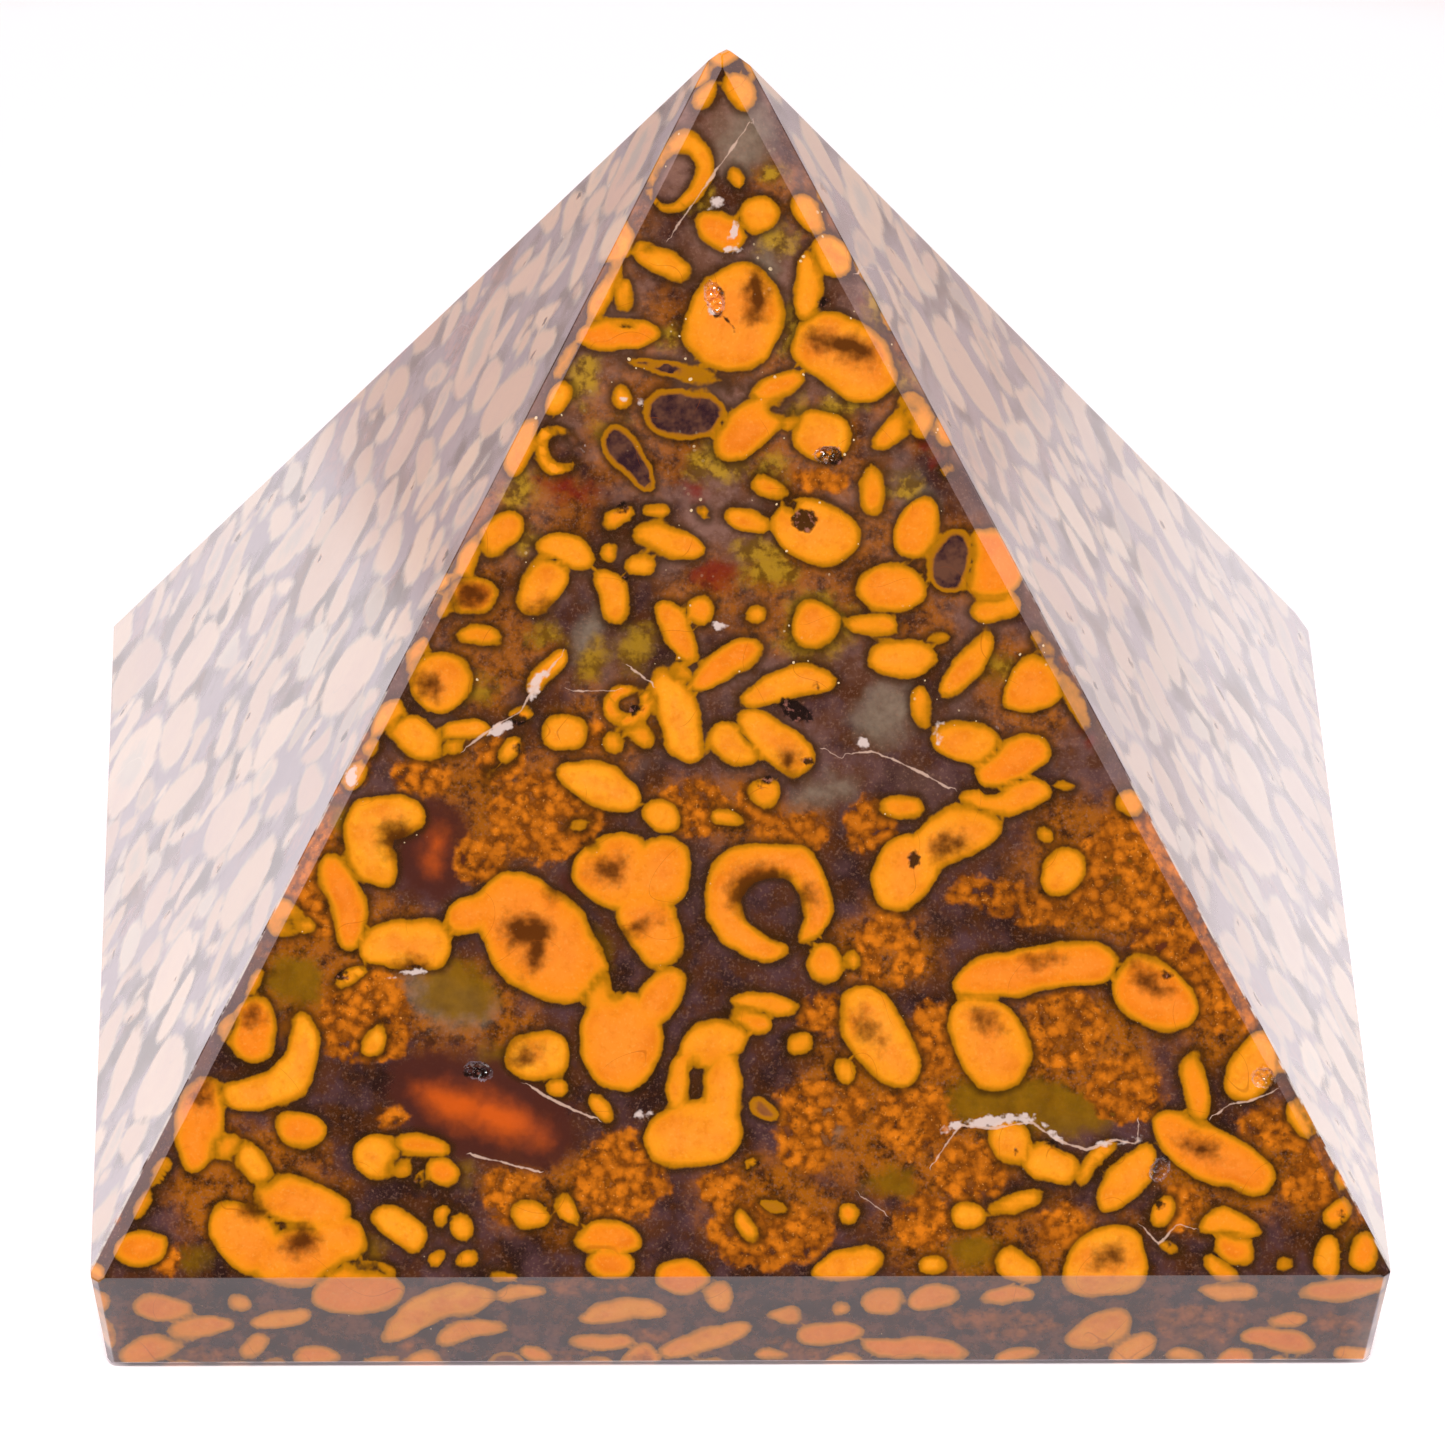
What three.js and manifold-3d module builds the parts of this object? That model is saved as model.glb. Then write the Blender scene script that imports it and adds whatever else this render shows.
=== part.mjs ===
// A jasper pyramid: one stone, ground flat on every side and polished.
// A square pyramid stands on a low band that draws in towards the foot. Narrow flats run
// along its four slanting edges and its upright corners, the tip and the corners are blunt,
// and a few small natural hollows are open in its faces.
// Millimetres, +Z up, the origin in the middle of the underside, the front face towards -Y.

import * as THREE from 'three';
import { mergeVertices } from 'three/addons/utils/BufferGeometryUtils.js';
import Module from 'manifold-3d';

// The pyramid as it would be with sharp edges
const baseSide = 60;
const bandHeight = 5.45;
const bandInset = 0.75;
const slopeRise = 48.9;
const tipShift = -0.6;

// The flats along the edges, given by how far they reach into the faces on both sides
const frontLeftFlat = 0.6;
const frontRightFlatAtFoot = 0.45;
const frontRightFlatAtTip = 1.0;
const backFlat = 0.9;
const uprightFlat = 0.35;
const footFlat = 0.3;
const bluntBackRightCorner = 1.6;
const stoneHeight = 53.35;

// The hollows: a face, how far across it and up its slope, length, width, turn and depth
const hollows = [
  { face: 'front', across: -1.2, up: 45.1, length: 1.6, width: 0.8, turn: -70, depth: 0.5 },
  { face: 'front', across: 4.0, up: 37.9, length: 1.2, width: 0.7, turn: 10, depth: 0.5 },
  { face: 'front', across: -12.1, up: 9.5, length: 1.3, width: 0.8, turn: -20, depth: 0.5 },
  { face: 'front', across: 19.3, up: 4.9, length: 1.2, width: 0.8, turn: 60, depth: 0.5 },
  { face: 'front', across: 24.1, up: 9.1, length: 1.1, width: 0.9, turn: 0, depth: 0.4 },
  { face: 'back', across: 5.0, up: 24.0, length: 1.5, width: 0.8, turn: -20, depth: 0.5 },
  { face: 'back', across: -11.0, up: 9.0, length: 1.2, width: 0.7, turn: 70, depth: 0.4 },
];
const hollowRoundness = 1;

const stoneColor = 0x8a4a1c;
const polishedRoughness = 0.12;

const wasm = await Module();
wasm.setup();

// Solids and geometries

function toSolid(geometry) {
  const bare = geometry.clone();
  bare.deleteAttribute('normal');
  bare.deleteAttribute('uv');
  const merged = mergeVertices(bare);
  return new wasm.Manifold(new wasm.Mesh({
    numProp: 3,
    vertProperties: merged.attributes.position.array,
    triVerts: new Uint32Array(merged.index.array),
  }));
}

function toGeometry(solid) {
  const { vertProperties, triVerts } = solid.getMesh();
  const geometry = new THREE.BufferGeometry();
  geometry.setAttribute('position', new THREE.BufferAttribute(vertProperties, 3));
  geometry.setIndex(new THREE.BufferAttribute(triVerts, 1));
  return geometry;
}

// The named corners of the sharp pyramid

const halfSide = baseSide / 2;
const halfFoot = halfSide - bandInset;
const tip = new THREE.Vector3(tipShift, 0, bandHeight + slopeRise);
const stoneMiddle = new THREE.Vector3(0, 0, bandHeight);

function corner(x, y) {
  return {
    brow: new THREE.Vector3(x * halfSide, y * halfSide, bandHeight),
    foot: new THREE.Vector3(x * halfFoot, y * halfFoot, 0),
  };
}

const frontLeft = corner(-1, -1);
const frontRight = corner(1, -1);
const backRight = corner(1, 1);
const backLeft = corner(-1, 1);

// Each face, seen from outside, runs from the corner on its left to the one on its right
const faces = {
  front: [frontLeft, frontRight],
  right: [frontRight, backRight],
  back: [backRight, backLeft],
  left: [backLeft, frontLeft],
};

// Grinding: everything beyond a plane through three points is taken off

const wasteSize = 4 * baseSide;

function grind(stone, a, b, c) {
  const plane = new THREE.Plane().setFromCoplanarPoints(a, b, c);
  if (plane.distanceToPoint(stoneMiddle) > 0) plane.negate();
  const waste = new THREE.BoxGeometry(wasteSize, wasteSize, wasteSize);
  waste.translate(0, 0, wasteSize / 2);
  const turn = new THREE.Quaternion().setFromUnitVectors(new THREE.Vector3(0, 0, 1), plane.normal);
  waste.applyQuaternion(turn);
  waste.translate(...plane.coplanarPoint(new THREE.Vector3()).toArray());
  return stone.subtract(toSolid(waste));
}

function towards(from, to, distance) {
  return to.clone().sub(from).setLength(distance).add(from);
}

// A point beside the edge from start to end, set into the face that also holds side
function besideEdge(start, end, side, point, distance) {
  const along = end.clone().sub(start).normalize();
  const inward = side.clone().sub(start);
  inward.addScaledVector(along, -inward.dot(along)).setLength(distance);
  return point.clone().add(inward);
}

function grindSlantingEdge(stone, at, left, right, flatAtFoot, flatAtTip) {
  return grind(
    stone,
    besideEdge(at.brow, tip, left.brow, at.brow, flatAtFoot),
    besideEdge(at.brow, tip, right.brow, at.brow, flatAtFoot),
    besideEdge(at.brow, tip, left.brow, tip, flatAtTip),
  );
}

function grindUprightEdge(stone, at, left, right) {
  return grind(
    stone,
    towards(at.brow, left.brow, uprightFlat),
    towards(at.brow, right.brow, uprightFlat),
    towards(at.foot, left.foot, uprightFlat),
  );
}

function grindFootEdge(stone, left, right) {
  const inward = besideEdge(left.foot, right.foot, stoneMiddle.clone().setZ(0), left.foot, footFlat);
  return grind(
    stone,
    towards(left.foot, left.brow, footFlat),
    towards(right.foot, right.brow, footFlat),
    inward,
  );
}

function grindCorner(stone, at, left, right, reach) {
  return grind(
    stone,
    towards(at.brow, left.brow, reach),
    towards(at.brow, right.brow, reach),
    towards(at.brow, at.foot, reach),
  );
}

// A small hollow, open in the middle of a sloping face

function openHollow(stone, { face, across, up, length, width, turn, depth }) {
  const [left, right] = faces[face];
  const middle = left.brow.clone().add(right.brow).multiplyScalar(0.5);
  const acrossWay = right.brow.clone().sub(left.brow).normalize();
  const upWay = besideEdge(left.brow, right.brow, tip, new THREE.Vector3(), 1);
  const outWay = new THREE.Vector3().crossVectors(acrossWay, upWay);
  const place = middle.addScaledVector(acrossWay, across).addScaledVector(upWay, up);

  const pebble = new THREE.IcosahedronGeometry(1, hollowRoundness);
  pebble.scale(length / 2, width / 2, depth);
  pebble.rotateZ(THREE.MathUtils.degToRad(turn));
  pebble.applyMatrix4(new THREE.Matrix4().makeBasis(acrossWay, upWay, outWay).setPosition(place));
  return stone.subtract(toSolid(pebble));
}

function makeStone() {
  const block = new THREE.BoxGeometry(baseSide, baseSide, stoneHeight);
  block.translate(0, 0, stoneHeight / 2);
  let stone = toSolid(block);

  for (const [left, right] of Object.values(faces)) {
    stone = grind(stone, left.brow, right.brow, tip);
    stone = grind(stone, left.brow, right.brow, left.foot);
    stone = grindFootEdge(stone, left, right);
  }

  stone = grindSlantingEdge(stone, frontLeft, backLeft, frontRight, frontLeftFlat, frontLeftFlat);
  stone = grindSlantingEdge(
    stone, frontRight, frontLeft, backRight, frontRightFlatAtFoot, frontRightFlatAtTip,
  );
  stone = grindSlantingEdge(stone, backRight, frontRight, backLeft, backFlat, backFlat);
  stone = grindSlantingEdge(stone, backLeft, backRight, frontLeft, backFlat, backFlat);

  stone = grindUprightEdge(stone, frontLeft, backLeft, frontRight);
  stone = grindUprightEdge(stone, frontRight, frontLeft, backRight);
  stone = grindUprightEdge(stone, backRight, frontRight, backLeft);
  stone = grindUprightEdge(stone, backLeft, backRight, frontLeft);
  stone = grindCorner(stone, backRight, frontRight, backLeft, bluntBackRightCorner);

  return hollows.reduce(openHollow, stone);
}

const jasper = new THREE.MeshStandardMaterial({
  color: stoneColor,
  roughness: polishedRoughness,
  metalness: 0,
});

const pyramid = new THREE.Mesh(toGeometry(makeStone()), jasper);
pyramid.name = 'jasper_pyramid';

const part = new THREE.Group();
part.add(pyramid);

export default part;
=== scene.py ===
# %% [markdown]
# # A polished jasper pyramid
# The real object is one piece of stone. Orange pebbles lie packed in dark purple-brown quartz,
# with rusty, grainy patches between them, and the whole rock was sawn, ground flat on every
# side and polished until it mirrors the room. This notebook builds it in that order: the
# studio first, then the ground form, then the pebbles that run through the rock, and last
# the finish.

# %% Load the frame
import math
import random

import bmesh
import bpy
import numpy as np
from mathutils import Matrix, Vector, noise


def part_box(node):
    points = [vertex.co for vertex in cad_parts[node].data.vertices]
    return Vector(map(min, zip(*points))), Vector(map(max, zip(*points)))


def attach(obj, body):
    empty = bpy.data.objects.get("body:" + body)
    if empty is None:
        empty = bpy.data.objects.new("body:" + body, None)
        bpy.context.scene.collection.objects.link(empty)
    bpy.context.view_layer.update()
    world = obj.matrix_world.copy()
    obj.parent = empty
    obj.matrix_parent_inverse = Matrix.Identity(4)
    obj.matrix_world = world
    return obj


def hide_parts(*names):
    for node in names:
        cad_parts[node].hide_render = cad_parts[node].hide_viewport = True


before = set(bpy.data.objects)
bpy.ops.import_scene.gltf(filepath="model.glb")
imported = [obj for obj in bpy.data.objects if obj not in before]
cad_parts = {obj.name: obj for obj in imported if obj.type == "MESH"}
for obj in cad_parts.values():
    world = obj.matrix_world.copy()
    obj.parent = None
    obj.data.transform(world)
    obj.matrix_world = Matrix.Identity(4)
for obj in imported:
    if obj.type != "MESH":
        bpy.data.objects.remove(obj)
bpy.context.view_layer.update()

low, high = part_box("jasper_pyramid")
print("The frame's stone measures", [round(1000 * side, 2) for side in high - low], "mm")

# %% [markdown]
# ## The camera
# The picture was taken from about 0.6 m away, a little to the left of the middle and 31
# degrees above the table, with a long lens, so the base hardly narrows towards the back.
# A camera could be placed by eye, but here its four numbers come from the edges of the
# stone in the picture, which also show that the camera was held 0.9 degrees off level.

# %% Place the camera
MM = 0.001
CAMERA_LENS = 303.3
camera_azimuth = math.radians(1.85)
camera_elevation = math.radians(31.0)
camera_roll = math.radians(0.88)
camera_distance = 580.5 * MM
camera_target = Vector((-0.31, 0.0, 17.2)) * MM

looking = Vector((
    math.sin(camera_azimuth) * math.cos(camera_elevation),
    math.cos(camera_azimuth) * math.cos(camera_elevation),
    -math.sin(camera_elevation),
))
level_right = Vector((math.cos(camera_azimuth), -math.sin(camera_azimuth), 0.0))
level_up = level_right.cross(looking)
right = math.cos(camera_roll) * level_right + math.sin(camera_roll) * level_up
up = right.cross(looking)

camera_data = bpy.data.cameras.new("camera")
camera_data.sensor_width = 36.0
camera_data.lens = CAMERA_LENS
camera_data.clip_end = 20.0
camera = bpy.data.objects.new("camera", camera_data)
turned = Matrix((right, up, -looking)).transposed().to_4x4()
camera.matrix_world = Matrix.Translation(camera_target - camera_distance * looking) @ turned
bpy.context.collection.objects.link(camera)
bpy.context.scene.camera = camera
print("The camera stands at", [round(value, 3) for value in camera.matrix_world.translation], "m")

# %% [markdown]
# ## The table
# The stone stands on plain white paper, lit so strongly that it prints as paper white. The
# sloping sides are seen almost edge-on, so they mirror the table behind them: near the stone
# it is bright, further back it is only pale grey, and the line between the two shows in both
# sides. Lamps alone could light such a pool. Paper whose own brightness falls off in a soft
# circle does it from every direction. To the right, outside the picture, the paper is dimmer
# and then brighter again, as the right side mirrors it, and a narrow glow beside the foot
# takes away the shade that the undercut band would throw there.

# %% Lay the table
TABLE_SIZE = 6.0
BRIGHT_CIRCLE = 0.122
CIRCLE_SOFTNESS = 0.012
DIM_PAPER = {"start": 0.042, "end": 0.056, "low_value": 1.0, "high_value": 0.5}
FAR_RIGHT_PAPER = {"start": 0.078, "end": 0.1, "low_value": 0.0, "high_value": 0.4}
PAPER_GLOW = 0.17
STRIP_GLOW = 0.45
# Where the glow beside the foot begins and ends across the table, and ends along it, each softly
STRIP_START, STRIP_END = (0.028, 0.0295), (0.0345, 0.0305)
STRIP_LENGTH = (0.036, 0.031)
NEAR_PAPER = (0.87, 0.83, 0.85, 1.0)
FAR_PAPER = (0.65, 0.52, 0.5, 1.0)
GLOW_COLOUR = (1.0, 0.87, 0.9, 1.0)


def new_material(name):
    """An empty material with its output node; returns the material, its node tree and the output."""
    material = bpy.data.materials.new(name)
    material.use_nodes = True
    material.node_tree.nodes.clear()
    output = material.node_tree.nodes.new("ShaderNodeOutputMaterial")
    return material, material.node_tree, output


def add_node(tree, kind, inputs=None, **settings):
    """A node with its settings, and each input either linked from a socket or set to a value."""
    node = tree.nodes.new(kind)
    for name, value in settings.items():
        setattr(node, name, value)
    for name, value in (inputs or {}).items():
        if isinstance(value, bpy.types.NodeSocket):
            tree.links.new(value, node.inputs[name])
        else:
            node.inputs[name].default_value = value
    return node


def calculate(tree, operation, *values):
    """The result of one sum, such as MULTIPLY, of sockets and numbers."""
    return add_node(tree, "ShaderNodeMath", dict(enumerate(values)), operation=operation).outputs[0]


def blend_range(tree, value, start, end, low_value=0.0, high_value=1.0):
    """Runs smoothly from low_value, where value is start, to high_value, where it is end."""
    node = add_node(
        tree, "ShaderNodeMapRange",
        {0: value, 1: start, 2: end, 3: low_value, 4: high_value},
        interpolation_type="SMOOTHSTEP",
    )
    return node.outputs[0]


floor_mesh = bpy.data.meshes.new("table")
floor_maker = bmesh.new()
bmesh.ops.create_grid(floor_maker, x_segments=1, y_segments=1, size=TABLE_SIZE / 2)
floor_maker.to_mesh(floor_mesh)
floor_maker.free()
table = bpy.data.objects.new("table", floor_mesh)
bpy.context.collection.objects.link(table)

white, tree, output = new_material("white_table")
place = add_node(tree, "ShaderNodeTexCoord").outputs["Object"]
away = add_node(tree, "ShaderNodeVectorMath", {0: place}, operation="LENGTH").outputs["Value"]
parts = add_node(tree, "ShaderNodeSeparateXYZ", {0: place})
across = parts.outputs["X"]
bright = blend_range(tree, away, BRIGHT_CIRCLE + CIRCLE_SOFTNESS, BRIGHT_CIRCLE - CIRCLE_SOFTNESS)
bright = calculate(tree, "MULTIPLY", bright, blend_range(tree, across, **DIM_PAPER))
bright = calculate(tree, "MAXIMUM", bright, blend_range(tree, across, **FAR_RIGHT_PAPER))

# The glow beside the foot: a strip from the stone's flank to a few millimetres outside it
aside = calculate(tree, "ABSOLUTE", across)
along = calculate(tree, "ABSOLUTE", parts.outputs["Y"])
strip = calculate(
    tree, "MULTIPLY", blend_range(tree, aside, *STRIP_START), blend_range(tree, aside, *STRIP_END),
)
strip = calculate(tree, "MULTIPLY", strip, blend_range(tree, along, *STRIP_LENGTH))
glow = calculate(tree, "MULTIPLY", bright, PAPER_GLOW)
glow = calculate(tree, "MULTIPLY_ADD", strip, STRIP_GLOW, glow)

paper_colour = add_node(
    tree, "ShaderNodeMix", {"Factor": bright, 6: FAR_PAPER, 7: NEAR_PAPER}, data_type="RGBA",
)
paper = add_node(tree, "ShaderNodeBsdfPrincipled", {
    "Base Color": paper_colour.outputs[2], "Roughness": 0.9, "Emission Color": GLOW_COLOUR,
    "Emission Strength": glow,
})
tree.links.new(paper.outputs[0], output.inputs["Surface"])
# The glow is wide and weak, so rays find it by themselves, and aiming at it only takes time
white.cycles.emission_sampling = "NONE"
floor_mesh.materials.append(white)
print("The table is bright out to", 1000 * BRIGHT_CIRCLE, "mm")

# %% [markdown]
# ## The lamps
# Four soft boxes light the stone. The one in front and above gives the colours of the front
# face, and hangs higher than the direction that this face mirrors, so the face stays dark
# and clear. The two at the sides hang just where the flats along the front edges mirror
# them, which lays a pink sheen over the flats. Lamps placed by eye would miss such narrow
# flats, so the directions were worked out from the flats' slopes. The last box lights the far
# side. The room around them is a weak warm grey.

# %% Hang the lamps
STUDIO_GREY = 0.05
WARM_ROOM = (1.0, 0.8, 0.62, 1.0)
WHITE_LIGHT = (1.0, 1.0, 1.0)
PINK_LIGHT = (1.0, 0.72, 0.74)
LAMP_DISTANCE = 1.0

# Name, azimuth (0 is the front, 90 the right-hand side), elevation, width, height, watts, colour
SOFT_BOXES = [
    ("front_box", 0, 65, 0.6, 0.28, 11.0, WHITE_LIGHT),
    ("left_box", -90, 31, 0.36, 0.32, 0.7, PINK_LIGHT),
    ("right_box", 93, 34, 0.36, 0.24, 0.35, PINK_LIGHT),
    ("back_box", 180, 62, 0.6, 0.28, 1.6, WHITE_LIGHT),
]

for name, azimuth, elevation, width, height, watts, light in SOFT_BOXES:
    data = bpy.data.lights.new(name, "AREA")
    data.shape = "RECTANGLE"
    data.size = width
    data.size_y = height
    data.energy = watts
    data.color = light
    a, e = math.radians(azimuth), math.radians(elevation)
    direction = Vector((math.sin(a) * math.cos(e), -math.cos(a) * math.cos(e), math.sin(e)))
    lamp = bpy.data.objects.new(name, data)
    lamp.location = direction * LAMP_DISTANCE + Vector((0.0, 0.0, 0.02))
    lamp.rotation_euler = direction.to_track_quat("Z", "Y").to_euler()
    bpy.context.collection.objects.link(lamp)

world = bpy.data.worlds.new("studio")
world.use_nodes = True
background = world.node_tree.nodes["Background"]
background.inputs["Color"].default_value = WARM_ROOM
background.inputs["Strength"].default_value = STUDIO_GREY
bpy.context.scene.world = world
bpy.context.scene.view_settings.view_transform = "Standard"

# %% [markdown]
# ## The ground form
# A stone cutter saws a block and grinds one flat after another, each to a plane that three
# marks on the block give. A pyramid could also be a cone with four sides, but then the low
# undercut band and the narrow flats on the edges would have to be added. Here the block is
# ground as the real one is: a cut along a plane, and a new face where the cut opened it.

# %% Name the corners of the sharp pyramid
HALF_SIDE = 500 * (high.x - low.x)
STONE_HEIGHT = 1000 * (high.z - low.z)
BAND_HEIGHT = 5.45
BAND_INSET = 0.75
SLOPE_RISE = 48.9
TIP_SHIFT = -0.6
FRONT_LEFT_FLAT = 0.6
FRONT_RIGHT_FLAT_AT_FOOT = 0.45
FRONT_RIGHT_FLAT_AT_TIP = 1.0
BACK_FLAT = 0.9
UPRIGHT_FLAT = 0.35
FOOT_FLAT = 0.3
BLUNT_CORNER = 1.6

tip = Vector((TIP_SHIFT, 0.0, BAND_HEIGHT + SLOPE_RISE))
stone_middle = Vector((0.0, 0.0, BAND_HEIGHT))


class Corner:
    """One corner of the base: its brow, on the band's upper edge, and its foot, on the table."""

    def __init__(self, x, y):
        half_foot = HALF_SIDE - BAND_INSET
        self.brow = Vector((x * HALF_SIDE, y * HALF_SIDE, BAND_HEIGHT))
        self.foot = Vector((x * half_foot, y * half_foot, 0.0))


front_left, front_right = Corner(-1, -1), Corner(1, -1)
back_right, back_left = Corner(1, 1), Corner(-1, 1)
SIDES = {
    "front": (front_left, front_right),
    "right": (front_right, back_right),
    "back": (back_right, back_left),
    "left": (back_left, front_left),
}
print("The sharp tip would stand", tip.z, "mm high, and the blunt one stands", round(STONE_HEIGHT, 2))

# %% Grind the block
def grind(stone, a, b, c):
    """Cuts away what lies beyond the plane through three points, and closes the cut."""
    normal = (b - a).cross(c - a).normalized()
    if normal.dot(stone_middle - a) > 0:
        normal.negate()
    everything = stone.verts[:] + stone.edges[:] + stone.faces[:]
    cut = bmesh.ops.bisect_plane(
        stone, geom=everything, dist=1e-4, plane_co=a, plane_no=normal, clear_outer=True,
    )
    rim = [item for item in cut["geom_cut"] if isinstance(item, bmesh.types.BMEdge)]
    if rim:
        bmesh.ops.edgeloop_fill(stone, edges=rim)


def towards(start, end, distance):
    return start + (end - start).normalized() * distance


def beside_edge(start, end, side, point, distance):
    """A point beside the edge from start to end, in the face that also holds side."""
    along = (end - start).normalized()
    inward = side - start
    inward -= along * inward.dot(along)
    return point + inward.normalized() * distance


def grind_slanting_edge(stone, at, left, right, flat_at_foot, flat_at_tip):
    grind(
        stone,
        beside_edge(at.brow, tip, left.brow, at.brow, flat_at_foot),
        beside_edge(at.brow, tip, right.brow, at.brow, flat_at_foot),
        beside_edge(at.brow, tip, left.brow, tip, flat_at_tip),
    )


def grind_upright_edge(stone, at, left, right):
    grind(
        stone,
        towards(at.brow, left.brow, UPRIGHT_FLAT),
        towards(at.brow, right.brow, UPRIGHT_FLAT),
        towards(at.foot, left.foot, UPRIGHT_FLAT),
    )


stone = bmesh.new()
bmesh.ops.create_cube(stone, size=1.0)
block = Matrix.Diagonal((2 * HALF_SIDE, 2 * HALF_SIDE, STONE_HEIGHT, 1.0))
lifted = Matrix.Translation((0.0, 0.0, STONE_HEIGHT / 2))
bmesh.ops.transform(stone, matrix=lifted @ block, verts=stone.verts)

for side_left, side_right in SIDES.values():
    grind(stone, side_left.brow, side_right.brow, tip)
    grind(stone, side_left.brow, side_right.brow, side_left.foot)
    grind(
        stone,
        towards(side_left.foot, side_left.brow, FOOT_FLAT),
        towards(side_right.foot, side_right.brow, FOOT_FLAT),
        beside_edge(side_left.foot, side_right.foot, Vector(), side_left.foot, FOOT_FLAT),
    )

grind_slanting_edge(stone, front_left, back_left, front_right, FRONT_LEFT_FLAT, FRONT_LEFT_FLAT)
grind_slanting_edge(
    stone, front_right, front_left, back_right, FRONT_RIGHT_FLAT_AT_FOOT, FRONT_RIGHT_FLAT_AT_TIP,
)
grind_slanting_edge(stone, back_right, front_right, back_left, BACK_FLAT, BACK_FLAT)
grind_slanting_edge(stone, back_left, back_right, front_left, BACK_FLAT, BACK_FLAT)
grind_upright_edge(stone, front_left, back_left, front_right)
grind_upright_edge(stone, front_right, front_left, back_right)
grind_upright_edge(stone, back_right, front_right, back_left)
grind_upright_edge(stone, back_left, back_right, front_left)
grind(
    stone,
    towards(back_right.brow, front_right.brow, BLUNT_CORNER),
    towards(back_right.brow, back_left.brow, BLUNT_CORNER),
    towards(back_right.brow, back_right.foot, BLUNT_CORNER),
)
print("The ground stone has", len(stone.faces), "flats and", len(stone.edges), "edges")

# %% [markdown]
# ## The polished edges
# Polishing rounds every edge by about a twentieth of a millimetre. It is little, but without
# it no edge would catch the light. A bevel of two narrow strips is enough at this size.

# %% Round the edges
EDGE_ROUNDING = 0.05

bmesh.ops.bevel(
    stone, geom=stone.edges[:], offset=EDGE_ROUNDING, offset_type="OFFSET", segments=2,
    profile=0.5, affect="EDGES", clamp_overlap=True, material=-1,
)
bmesh.ops.recalc_face_normals(stone, faces=stone.faces)
print("After rounding it has", len(stone.faces), "faces")

# %% [markdown]
# ## Fine faces for the markings
# The flats are plain polygons so far. The markings are measured at the corners of the mesh,
# so the faces are divided until the corners of the front lie about a third of a millimetre
# apart, which is finer than the smallest pebble. A plain subdivision would divide the narrow
# edge strips as often as the wide faces. Even slices first, and then halving only the edges
# that are too long, keep the corners even. First each side gets a frame of its own, and the
# hollows get their places, because the mesh is finest there.

# %% Place the hollows
class Face:
    """A frame on one side of the stone: across, up the slope, and out, from the brow's middle."""

    def __init__(self, name, on_band=False):
        left, right = SIDES[name]
        self.origin = (left.brow + right.brow) / 2
        self.across = (right.brow - left.brow).normalized()
        if on_band:
            foot = (left.foot + right.foot) / 2
            self.up = (self.origin - foot).normalized()
        else:
            self.up = beside_edge(left.brow, right.brow, tip, Vector(), 1.0)
        self.out = self.across.cross(self.up)

    def point(self, across, up):
        return self.origin + self.across * across + self.up * up

    def height_of(self, point):
        """How far a point stands out of this face, in millimetres."""
        return (point - self.origin).dot(self.out)


SLOPES = {name: Face(name) for name in SIDES}
BANDS = {name: Face(name, on_band=True) for name in SIDES}

# Face, across, up, length, width, turn in degrees, depth
HOLLOWS = [
    ("front", -1.2, 45.1, 1.6, 0.8, -70, 0.5), ("front", 4.0, 37.9, 1.2, 0.7, 10, 0.5),
    ("front", -12.1, 9.5, 1.3, 0.8, -20, 0.5), ("front", 19.3, 4.9, 1.2, 0.8, 60, 0.5),
    ("front", 24.1, 9.1, 1.1, 0.9, 0, 0.4), ("back", 5.0, 24.0, 1.5, 0.8, -20, 0.5),
    ("back", -11.0, 9.0, 1.2, 0.7, 70, 0.4),
]
hollow_places = [(SLOPES[row[0]].point(row[1], row[2]), row[3] / 2) for row in HOLLOWS]
print(len(HOLLOWS), "hollows are open in the faces")

# %% [markdown]
# ## Even slices
# Planes at even distances cut each face into a grid of cells, front, sides and underside one
# after another. The front gets the smaller cells, because everyone looks there first.

# %% Slice the faces into even cells
FRONT_CELL = 2.2
SIDE_CELL = 3.1
NARROW = 0.75
FACES_THAT_WAY = 0.8
WELD = 1e-4
SLOPE_STEEPNESS = SLOPES["front"].up.z
X_WAY, Y_WAY, Z_WAY = Vector((1, 0, 0)), Vector((0, 1, 0)), Vector((0, 0, 1))


narrow = stone.faces.layers.int.new("narrow")
for face in stone.faces:
    face[narrow] = face.calc_area() / face.calc_perimeter() < NARROW


def slice_faces(stone, facing, way, reach, cell):
    """Cuts the faces that look one way, and all narrow ones, along even planes across another way."""
    count = math.ceil(2 * reach / cell)
    for step in range(1, count):
        stone.normal_update()
        faces = [face for face in stone.faces if face[narrow] or face.normal.dot(facing) > FACES_THAT_WAY]
        edges = dict.fromkeys(edge for face in faces for edge in face.edges)
        verts = dict.fromkeys(vert for face in faces for vert in face.verts)
        bmesh.ops.bisect_plane(
            stone, geom=faces + list(edges) + list(verts), dist=WELD,
            plane_co=way * (step * cell - reach), plane_no=way,
        )


slice_faces(stone, -Y_WAY, X_WAY, HALF_SIDE, FRONT_CELL)
slice_faces(stone, -Y_WAY, Z_WAY, STONE_HEIGHT, FRONT_CELL * SLOPE_STEEPNESS)
for facing, way in ((Y_WAY, X_WAY), (X_WAY, Y_WAY), (-X_WAY, Y_WAY)):
    slice_faces(stone, facing, way, HALF_SIDE, SIDE_CELL)
    slice_faces(stone, facing, Z_WAY, STONE_HEIGHT, SIDE_CELL * SLOPE_STEEPNESS)
slice_faces(stone, -Z_WAY, X_WAY, HALF_SIDE, SIDE_CELL)
slice_faces(stone, -Z_WAY, Y_WAY, HALF_SIDE, SIDE_CELL)
print("Sliced into", len(stone.faces), "cells")

# %% [markdown]
# ## Short edges
# Cells with long edges are halved, and halved again, until no edge is longer than its place
# allows: the shortest in the hollows, longer on the sides, and the longest underneath.

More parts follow.
